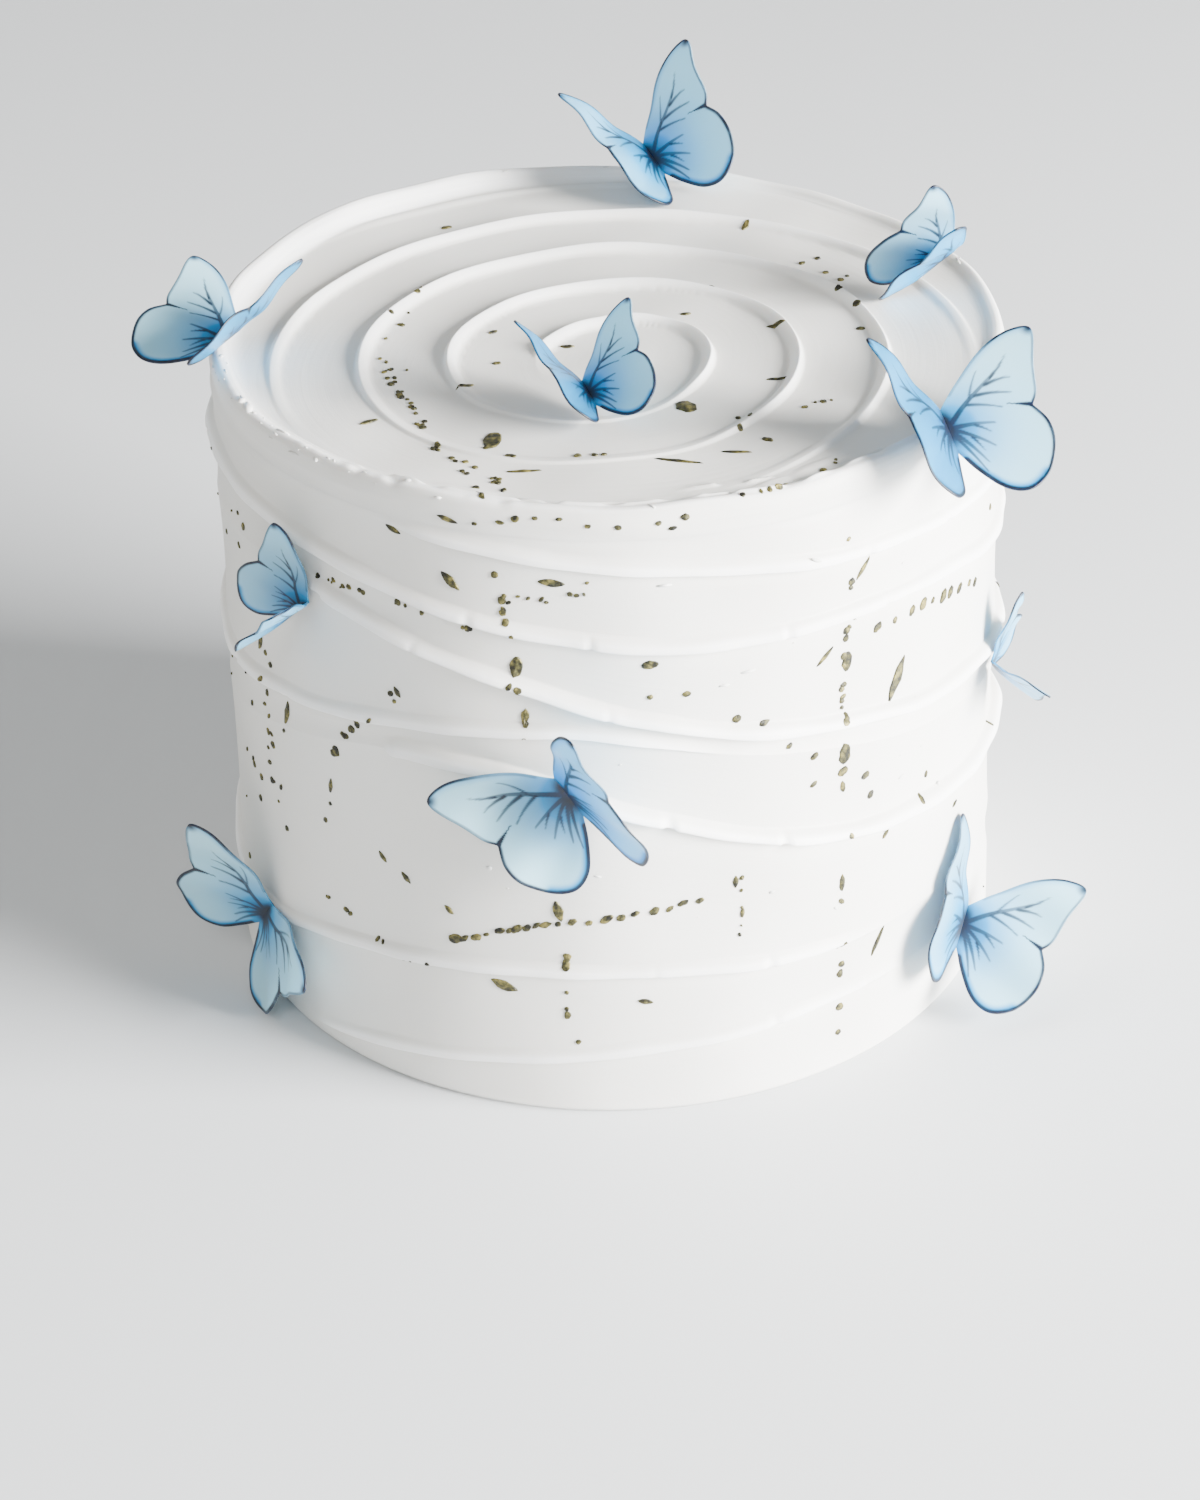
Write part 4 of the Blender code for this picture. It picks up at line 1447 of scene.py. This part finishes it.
@dataclass
class IcingCrumbs:
    """Small torn lumps of icing along the ragged rim, and fewer on the front of the wall.

    Sizes are in mm, and a normal draw is held as its mean and its deviation. Most lumps are small:
    small_power is the power of the even draw between the smallest and the largest.
    """

    rim_count: int = 14
    left_count: int = 30
    left_around: Point = (-52.0, 20.0)
    rim_radius: Point = (79.0, 0.9)
    outermost: float = 79.8
    wall_count: int = 24
    wall_span: Point = (-18.0, 55.0)
    wall_heights: Point = (40.0, 128.0)
    wall_scale: float = 0.6
    smallest: float = 0.25
    largest: float = 1.2
    small_power: float = 2.5
    stretches: tuple[Point, ...] = ((1.2, 3.2), (0.5, 1.1), (0.3, 0.6))
    turn_spread: float = 20.0
    ragged: Point = (0.85, 1.15)

    def make(self, surface: Surface) -> bpy.types.Object:
        """Scatters the lumps as one piece.

        Args:
            surface: The icing.

        Returns:
            The piece.
        """
        mesh = bmesh.new()
        rng = np.random.default_rng(Seed.CRUMBS)
        turns = np.concatenate((rng.uniform(-180.0, 180.0, self.rim_count),
                                rng.normal(*self.left_around, self.left_count)))
        places = []
        for around in turns:
            spot = polar(around, min(self.outermost, rng.normal(*self.rim_radius)))
            places.append((surface.on_top(spot.x, spot.y), around, 1.0))
        for _ in range(self.wall_count):
            around, height = rng.uniform(*self.wall_span), rng.uniform(*self.wall_heights)
            places.append((surface.on_side(around, height), 0.0, self.wall_scale))
        for place, turned, scale in places:
            share = rng.uniform(0.0, 1.0) ** self.small_power
            size = self.smallest + (self.largest - self.smallest) * share
            lump = bmesh.ops.create_icosphere(mesh, subdivisions=1, radius=size * scale)["verts"]
            stretch = Vector([rng.uniform(*limits) for limits in self.stretches])
            turn = math.radians(turned + rng.normal(0.0, self.turn_spread))
            turn = Matrix.Rotation(turn, 3, "Z")
            for vert in lump:
                vert.co = turn @ (vert.co * stretch * rng.uniform(*self.ragged))
                vert.co = place @ (vert.co * MM)
        bmesh.ops.recalc_face_normals(mesh, faces=mesh.faces[:])
        thing = mesh_object(mesh, "icing_crumbs")
        point_attribute(thing.data, "sweep", np.zeros(len(thing.data.vertices)))
        thing.data.shade_smooth()
        return thing


class Wing(Enum):
    """The two wings of a butterfly, by the side of the fold they are on."""

    RIGHT = 1.0
    LEFT = -1.0


@dataclass(frozen=True)
class Vein:
    """A printed vein: where it starts and ends on the flat wing, its bow and its width, in mm."""

    start: Point
    end: Point
    bend: float = 0.3
    width: float = 0.3

    samples: int = 12

    def line(self) -> np.ndarray:
        """Works out the bowed line.

        Returns:
            Its points.
        """
        start, end = np.array(self.start), np.array(self.end)
        span = end - start
        across = np.array((-span[1], span[0])) / math.dist(self.start, self.end)
        shares = np.linspace(0.0, 1.0, self.samples)
        return start + np.outer(shares, span) + np.outer(bow(shares, self.bend), across)


@dataclass(frozen=True)
class EdgeInk:
    """Ink along the cut, from the first of a curve's points to the one before the last.

    It is width mm wide. Its strength goes from weak to strong along one axis of the flat wing, over
    span mm from the place begin.
    """

    hind: bool
    first: int
    last: int | None
    width: float
    weak: float = 1.0
    strong: float = 1.0
    axis: int = 0
    begin: float = 0.0
    span: float = 1.0


@dataclass(frozen=True)
class WingPattern:
    """The wing's cut and its print, drawn flat: (out from the fold, towards the head) in mm.

    fore and hind are rounded into curves of steps points for each given one, and edges and washes
    count in those. A wash is its full strength, its reach and sometimes its power. Along a vein its
    width and strength fall from the first number by the second. The dark body is an ellipse on the
    fold.
    """

    fore: tuple[Point, ...] = (
        (0.0, 4.6), (5.5, 9.6), (12.0, 14.2), (18.5, 16.8), (23.6, 16.6), (24.6, 14.2), (22.2, 8.0),
        (20.6, 2.0), (18.6, -0.8))
    hind: tuple[Point, ...] = (
        (18.6, -0.8), (20.2, -5.6), (19.6, -11.0), (16.2, -16.2), (11.2, -18.6), (6.4, -16.6),
        (2.6, -11.0), (0.0, -5.4))
    veins: tuple[Vein, ...] = (
        Vein((0.6, 0.6), (15.6, 9.9), 0.5, 0.42), Vein((12.6, 8.2), (17.2, 11.6), -0.2, 0.22),
        Vein((11.2, 7.2), (16.6, 6.9), 0.3), Vein((8.2, 5.4), (15.6, 3.6), 0.4, 0.32),
        Vein((5.6, 3.8), (12.4, 0.9), 0.3, 0.28), Vein((6.4, 4.4), (10.4, 10.6), 0.3, 0.2),
        Vein((0.8, 0.0), (9.6, -1.9), 0.3, 0.38), Vein((5.6, -1.0), (8.2, -3.4), 0.1, 0.24),
        Vein((0.8, -0.4), (8.2, -6.6), 0.4, 0.34), Vein((4.2, -3.2), (5.6, -6.6), 0.1, 0.24),
        Vein((0.6, -0.8), (5.4, -9.4), 0.4, 0.36), Vein((0.6, -1.6), (4.4, -11.6), 0.3, 0.3))
    edges: tuple[EdgeInk, ...] = (
        EdgeInk(False, 8, 66, 0.75, 0.45, 1.0, 0, 9.0, 9.0),
        EdgeInk(False, 66, None, 0.75, 0.7, 1.0, 1, 2.5, -3.0),
        EdgeInk(True, 0, -6, 1.0, 0.97, 0.97), EdgeInk(True, -52, -6, 1.1))
    vein_width: Point = (2.16, 1.35)
    vein_strength: Point = (0.95, 0.3)
    wedge_end: Point = (13.8, 1.3)
    wedge_width: float = 0.95
    wedge_span: float = 5.0
    wedge_least: float = 0.2
    tip_spot: Point = (24.0, 15.6)
    tip_radius: float = 2.2
    tip_strength: float = 0.95
    body: Point = (2.1, 4.8)
    body_middle: float = 0.2
    body_span: Point = (0.45, 0.8)
    wash_middle: float = -0.5
    wash_scale: float = 0.95
    root_wash: tuple[float, float, float] = (1.0, 6.8, 2.0)
    wide_wash: tuple[float, float, float] = (0.55, 11.0, 2.4)
    inner_edge: int = -56
    inner_wash: Point = (0.85, 2.6)
    front_edge: int = 66
    front_wash: Point = (0.30, 2.2)
    steps: int = 14

    def curve(self, points: tuple[Point, ...]) -> np.ndarray:
        """Rounds a row of points into a smooth line through them.

        Args:
            points: The points.

        Returns:
            The line's points, steps for each given one.
        """
        line = np.array(points, float)
        line = np.vstack((2.0 * line[0] - line[1], line, 2.0 * line[-1] - line[-2]))
        made = []
        for index in range(1, len(line) - 2):
            before, start, end, after = line[index - 1:index + 3]
            for step in np.arange(self.steps) / self.steps:
                made.append(0.5 * (2.0 * start + (end - before) * step
                                   + (2.0 * before - 5.0 * start + 4.0 * end - after) * step ** 2
                                   + (3.0 * start - before - 3.0 * end + after) * step ** 3))
        return np.vstack((made, line[-2]))

    def outline(self) -> np.ndarray:
        """Gives the whole cut line, from the front root round to the back root."""
        return np.vstack((self.curve(self.fore), self.curve(self.hind)[1:]))

    def distance(self, flat: np.ndarray, line: np.ndarray) -> np.ndarray:
        """Measures how far flat points lie from a line of points.

        Args:
            flat: Points as (out, ahead) in mm.
            line: The line's points.

        Returns:
            Distances in mm.
        """
        start, span = line[:-1], np.diff(line, axis=0)
        lengths = np.maximum(np.sum(span ** 2, axis=1), 1e-9)
        offset = flat[:, None, :] - start[None]
        share = np.clip(np.sum(offset * span, axis=2) / lengths, 0.0, 1.0)
        near = offset - share[:, :, None] * span
        return np.sqrt(np.min(np.sum(near ** 2, axis=2), axis=1))

    def ink(self, flat: np.ndarray) -> np.ndarray:
        """Works out how much navy ink lies at flat points.

        Args:
            flat: Points as (out, ahead) in mm.

        Returns:
            Values from 0 to 1.
        """
        out, ahead = flat.T
        curves = {False: self.curve(self.fore), True: self.curve(self.hind)}
        layers = []
        for edge in self.edges:
            rise = smoothstep((flat[:, edge.axis] - edge.begin) / edge.span)
            line = curves[edge.hind][edge.first:edge.last]
            strength = edge.weak + (edge.strong - edge.weak) * rise
            layers.append(strength * stroke(self.distance(flat, line), edge.width))
        for vein in self.veins:
            along = np.hypot(*(flat - np.array(vein.start)).T) / math.dist(vein.start, vein.end)
            along = np.clip(along, 0.0, 1.0)
            width = vein.width * (self.vein_width[0] - self.vein_width[1] * along)
            line = stroke(self.distance(flat, vein.line()), width)
            layers.append((self.vein_strength[0] - self.vein_strength[1] * along) * line)
        wedge = np.vstack((self.fore[-1], self.wedge_end))
        taper = np.clip((out - self.wedge_end[0]) / self.wedge_span, self.wedge_least, 1.0)
        layers.append(stroke(self.distance(flat, wedge), self.wedge_width * taper))
        spot = np.hypot(out - self.tip_spot[0], ahead - self.tip_spot[1])
        layers.append(self.tip_strength * (1.0 - smoothstep(spot / self.tip_radius)))
        body = np.hypot(out / self.body[0], (ahead - self.body_middle) / self.body[1])
        begin, span = self.body_span
        layers.append(1.0 - smoothstep((body - begin) / span))
        return np.max(layers, axis=0)

    def wash_at(self, flat: np.ndarray) -> np.ndarray:
        """Works out how deep the blue wash is at flat points.

        Args:
            flat: Points as (out, ahead) in mm.

        Returns:
            Values from 0 to 1.
        """
        near = self.wash_scale * np.hypot(flat[:, 0], flat[:, 1] - self.wash_middle)
        layers = [full * bell(near, reach, power)
                  for full, reach, power in (self.root_wash, self.wide_wash)]
        inner, front = self.curve(self.hind)[self.inner_edge:], self.curve(self.fore)[:self.front_edge]
        for line, (full, reach) in ((inner, self.inner_wash), (front, self.front_wash)):
            layers.append(full * (1.0 - smoothstep(self.distance(flat, line) / reach)))
        return np.max(layers, axis=0)


class PrintedWing:
    """One flat wing, cut and printed, that every butterfly bends its two wings from."""

    along: int = 220
    across: int = 48
    even_rows: float = 0.6

    def __init__(self, pattern: WingPattern) -> None:
        """Spreads a square grid over the pattern's cut and prints it.

        Args:
            pattern: The cut and the print.
        """
        grid = bmesh.new()
        bmesh.ops.create_grid(grid, x_segments=self.along, y_segments=self.across, size=0.5)
        self.sheet = bpy.data.meshes.new("flat wing")
        grid.to_mesh(self.sheet)
        grid.free()
        square = read_places(self.sheet)
        along, across = square[:, 0] + 0.5, square[:, 1] + 0.5
        line = pattern.outline()
        steps = path_lengths(line)
        edge = np.stack([np.interp(along * steps[-1], steps, line[:, axis]) for axis in (0, 1)], 1)
        root = np.stack((0.0 * along, line[0, 1] + (line[-1, 1] - line[0, 1]) * along), 1)
        crowded = (1.0 - self.even_rows) * np.sin(0.5 * np.pi * across)
        share = self.even_rows * across + crowded
        self.flat = root + (edge - root) * share[:, None]
        self.wash = pattern.wash_at(self.flat)
        point_attribute(self.sheet, "ink", pattern.ink(self.flat))
        point_attribute(self.sheet, "wash", self.wash)


@dataclass(frozen=True)
class Butterfly:
    """One butterfly and the way it sits.

    around, height and radius are where its fold is held, facing how far its outer side turns up,
    heading the clockwise turn of its head from straight up, nose and bank its tips, right and left
    the wings' lifts from flat, and size its scale. The right and left shade values are painted
    shade: how much deeper blue than the shared print the right and the left wing are made, where
    the light leaves that wing darker. The fields below them are what all butterflies share:
    sizes in mm, sharp in degrees.
    """

    name: str
    around: float
    height: float
    radius: float
    facing: float
    heading: float
    nose: float
    bank: float
    right: float
    left: float
    size: float
    right_tint: float = 0.0
    left_tint: float = 0.0

    reach: float = 20.0
    cup: float = 1.6
    ripple: float = 0.5
    ripple_lean: Point = (0.35, 0.2)
    stiff_fold: float = 6.0
    sheet: float = 0.34
    gap: float = 0.3
    weld_gap: float = 0.001
    sharp: float = 38.0

    def axes(self) -> tuple[Vector, Vector]:
        """Works out which way the butterfly points.

        Returns:
            The directions of the head and of the sheet's outer side.
        """
        radial = polar(self.around, 1.0)
        facing = math.radians(self.facing)
        out = radial * math.cos(facing) + ZENITH * math.sin(facing)
        up = ZENITH * math.cos(facing) - radial * math.sin(facing)
        head = Matrix.Rotation(-math.radians(self.heading), 3, out) @ up
        side = head.cross(out)
        head = Matrix.Rotation(math.radians(self.nose), 3, side) @ head
        out = side.cross(head)
        return head, Matrix.Rotation(math.radians(self.bank), 3, head) @ out

    def bend(self, flat: np.ndarray, wing: Wing) -> np.ndarray:
        """Bends a flat wing up from the fold, cupped and lightly rippled.

        Args:
            flat: Points as (out, ahead) in mm.
            wing: Which wing.

        Returns:
            Points in the butterfly's own frame.
        """
        out, ahead = flat.T
        lean_ahead, lean_out = self.ripple_lean
        curl = self.cup * (out / self.reach) ** 2
        curl += self.ripple * np.sin(lean_ahead * ahead + lean_out * out)
        curl *= np.minimum(1.0, out / self.stiff_fold)
        angle = math.radians(self.right if wing is Wing.RIGHT else self.left)
        level = out * math.cos(angle) - math.sin(angle) * curl
        rise = out * math.sin(angle) + math.cos(angle) * curl
        return np.stack((wing.value * level, ahead, rise), axis=1)

    def make(self, wing_print: PrintedWing, surface: Surface) -> bpy.types.Object:
        """Cuts, folds and seats the butterfly.

        Args:
            wing_print: The flat wing that all the butterflies share.
            surface: The icing, which the wings don't dip into.

        Returns:
            The finished sheet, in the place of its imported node.
        """
        mesh = bmesh.new()
        for wing in Wing:
            data = wing_print.sheet.copy()
            write_places(data, self.bend(wing_print.flat, wing))
            # painted shade: a deeper blue wash on a wing that the light leaves darker
            painted_shade = self.right_tint if wing is Wing.RIGHT else self.left_tint
            wash = (wing_print.wash * (1.0 - painted_shade) + painted_shade).astype(np.float32)
            data.attributes["wash"].data.foreach_set("value", wash)
            mesh.from_mesh(data)
            bpy.data.meshes.remove(data)
        thing = mesh_object(mesh, self.name.replace("butterfly", "wings"))
        head, out = self.axes()
        turned = read_places(thing.data) * self.size * MM @ np.array((head.cross(out), head, out))
        low, high = (np.array(corner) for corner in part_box(self.name))
        centre = 0.5 * (turned.min(axis=0) + turned.max(axis=0))
        write_places(thing.data, turned + 0.5 * (low + high) - centre)
        self.weld(thing, out, surface)
        sheet = thing.modifiers.new("thickness", "SOLIDIFY")
        sheet.thickness = self.sheet * MM
        sheet.offset = 0.0
        return thing

    def weld(self, thing: bpy.types.Object, out: Vector, surface: Surface) -> None:
        """Joins the wings along the fold, lifts them clear and turns them to their outer side.

        Args:
            thing: The butterfly in its place.
            out: The direction of its outer side.
            surface: The icing.
        """
        sheet = bmesh.new()
        sheet.from_mesh(thing.data)
        bmesh.ops.remove_doubles(sheet, verts=sheet.verts[:], dist=self.weld_gap * MM)
        for vert in sheet.verts:
            vert.co = surface.cleared(vert.co, self.gap * MM)
        bmesh.ops.recalc_face_normals(sheet, faces=sheet.faces[:])
        if sum(face.normal.dot(out) * face.calc_area() for face in sheet.faces) < 0.0:
            bmesh.ops.reverse_faces(sheet, faces=sheet.faces[:])
        sheet.to_mesh(thing.data)
        sheet.free()
        thing.data.shade_smooth()
        thing.data.set_sharp_from_angle(angle=math.radians(self.sharp))


BUTTERFLIES = (
    Butterfly("butterfly_top_centre", -6, 137, 36.0, 90, -29, 16, 0, 41, 40, 0.69, 0.0, 0.72),
    Butterfly("butterfly_back_rim", 172, 138, 77.5, 90, 139, 26, -9, 43, 35, 0.91, 0.0, 0.35),
    Butterfly("butterfly_back_right", 102, 137, 70.0, 90, 197, 42, 42, 67, 66, 0.70, 0.5, 0.08),
    Butterfly("butterfly_right_rim", 52, 138, 81.5, 49, 23, -2, -3, 27, 23, 0.91, 0.0, 0.65),
    Butterfly("butterfly_left_rim", -83.5, 138, 76.2, 66, -44, -5, -2, 26, 33, 0.82, 0.55, 0.0),
    Butterfly("butterfly_left_side", -46.4, 104.0, 81.0, 0, 47, -7, -32, 50, 43, 0.66, 0.32, 0.12),
    Butterfly("butterfly_centre", -6, 78.0, 81.5, 0, -36, -5, -10, 34, 16, 0.92, 0.22, 0.0),
    Butterfly("butterfly_low_left", -61.3, 21.8, 82.0, 0, 37, -5, 7, 16, 28, 0.96),
    Butterfly("butterfly_low_right", 61.5, 15.5, 82.0, 0, 57, -6, -24, 47, 20, 0.94, 0.0, 0.3),
    Butterfly("butterfly_right_side", 71, 72.5, 82.0, 0, -51, 5, -3, 9, 64, 0.60, 0.25, 0.25),
)


@dataclass(frozen=True)
class Lamp:
    """A square soft light: its place and size in metres, its power in watts and its colour."""

    name: str
    place: tuple[float, float, float]
    size: float
    power: float
    colour: Colour

    def make(self) -> None:
        """Hangs the light and points it at the middle of the cake."""
        data = bpy.data.lights.new(self.name, "AREA")
        data.shape = "SQUARE"
        data.size = self.size
        data.energy = self.power
        data.color = self.colour
        lamp = bpy.data.objects.new(self.name, data)
        bpy.context.scene.collection.objects.link(lamp)
        turn = (MIDDLE - Vector(self.place)).to_track_quat("-Z", "Y").to_matrix().to_4x4()
        lamp.matrix_world = Matrix.Translation(self.place) @ turn


@dataclass
class Studio:
    """The pale floor, the soft lights and the camera at the photograph's viewing angle.

    Places and sizes are in metres. The floor's profile holds (back, up) places.
    """

    camera_place: tuple[float, float, float] = (-0.0012, -0.6257, 0.4326)
    yaw: float = 0.142
    pitch: float = 32.40
    roll: float = -0.90
    lens: float = 81.6
    sensor: float = 36.0
    clip: Point = (0.01, 50.0)
    floor_colour: Colour = (0.69, 0.71, 0.73)
    floor_half: float = 6.0
    floor_smoothing: int = 3
    floor_profile: tuple[Point, ...] = (
        (-4.0, 0.0), (-1.5, 0.0), (0.6, 0.0), (1.4, 0.0), (2.2, 0.0), (2.9, 0.14), (3.3, 0.55),
        (3.45, 1.2), (3.45, 5.0))
    world_colour: Colour = (0.87, 0.88, 0.87)
    world_strength: float = 0.42
    lamps: tuple[Lamp, ...] = (
        Lamp("key", (1.33, -0.56, 0.46), 0.8, 224.0, (1.0, 0.99, 0.97)),
        Lamp("front", (-0.30, -1.1, 1.05), 0.5, 6.0, (1.0, 1.0, 0.99)),
        Lamp("left", (-1.4, 0.1, 0.5), 1.0, 5.5, (1.0, 0.96, 0.86)))

    def camera(self) -> None:
        """Places the camera. Its lens gives the picture's field on the longer side."""
        data = bpy.data.cameras.new("camera")
        data.lens = self.lens
        data.sensor_width = self.sensor
        camera = bpy.data.objects.new("camera", data)
        bpy.context.scene.collection.objects.link(camera)
        yaw, pitch = math.radians(self.yaw), math.radians(self.pitch)
        ahead = Vector((-math.sin(yaw) * math.cos(pitch), math.cos(yaw) * math.cos(pitch),
                        -math.sin(pitch)))
        turn = ahead.to_track_quat("-Z", "Y").to_matrix()
        turn = turn @ Matrix.Rotation(math.radians(self.roll), 3, "Z")
        camera.matrix_world = Matrix.Translation(self.camera_place) @ turn.to_4x4()
        data.clip_start, data.clip_end = self.clip
        bpy.context.scene.camera = camera

    def floor(self) -> None:
        """Lays a wide floor that sweeps up behind into a backdrop."""
        mesh = bmesh.new()
        line = [mesh.verts.new((-self.floor_half, y, z)) for y, z in self.floor_profile]
        edges = [mesh.edges.new(pair) for pair in zip(line, line[1:])]
        swept = bmesh.ops.extrude_edge_only(mesh, edges=edges)["geom"]
        far = [part for part in swept if isinstance(part, bmesh.types.BMVert)]
        bmesh.ops.translate(mesh, vec=(2.0 * self.floor_half, 0.0, 0.0), verts=far)
        bmesh.ops.recalc_face_normals(mesh, faces=mesh.faces[:])
        thing = mesh_object(mesh, "floor")
        thing.data.shade_smooth()
        smooth = thing.modifiers.new("sweep", "SUBSURF")
        smooth.levels = smooth.render_levels = self.floor_smoothing
        thing.data.materials.append(PlainFinish("pale floor", self.floor_colour).make())

    def make(self) -> None:
        """Sets up the whole studio."""
        self.camera()
        self.floor()
        for lamp in self.lamps:
            lamp.make()
        world = bpy.data.worlds.new("studio")
        world.use_nodes = True
        background = world.node_tree.nodes["Background"]
        background.inputs["Color"].default_value = (*self.world_colour, 1.0)
        background.inputs["Strength"].default_value = self.world_strength
        bpy.context.scene.world = world


def main() -> None:
    """Builds every piece, dresses it and sets up the studio."""
    logging.basicConfig(level=logging.INFO, format="%(message)s")
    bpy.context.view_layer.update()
    icing, gold, wafer = IcingFinish().make(), GoldFinish().make(), WaferFinish().make()
    top = TopIcing().make()
    wall = SideIcing().make(TopIcing().around())
    for thing in (top, wall):
        face_outwards(thing, MIDDLE)
    surface = Surface(top, wall)
    crumbs = IcingCrumbs().make(surface)
    leaf = GoldLeaf().make(surface)
    dress(wall, icing, "icing", "cake")
    dress(top, icing, "icing", "cake")
    dress(crumbs, icing, "icing")
    dress(leaf, gold, "icing")
    print_once = PrintedWing(WingPattern())
    for butterfly in BUTTERFLIES:
        dress(butterfly.make(print_once, surface), wafer, "wafer_paper", butterfly.name)
    Studio().make()


if __name__ == "__main__":
    main()
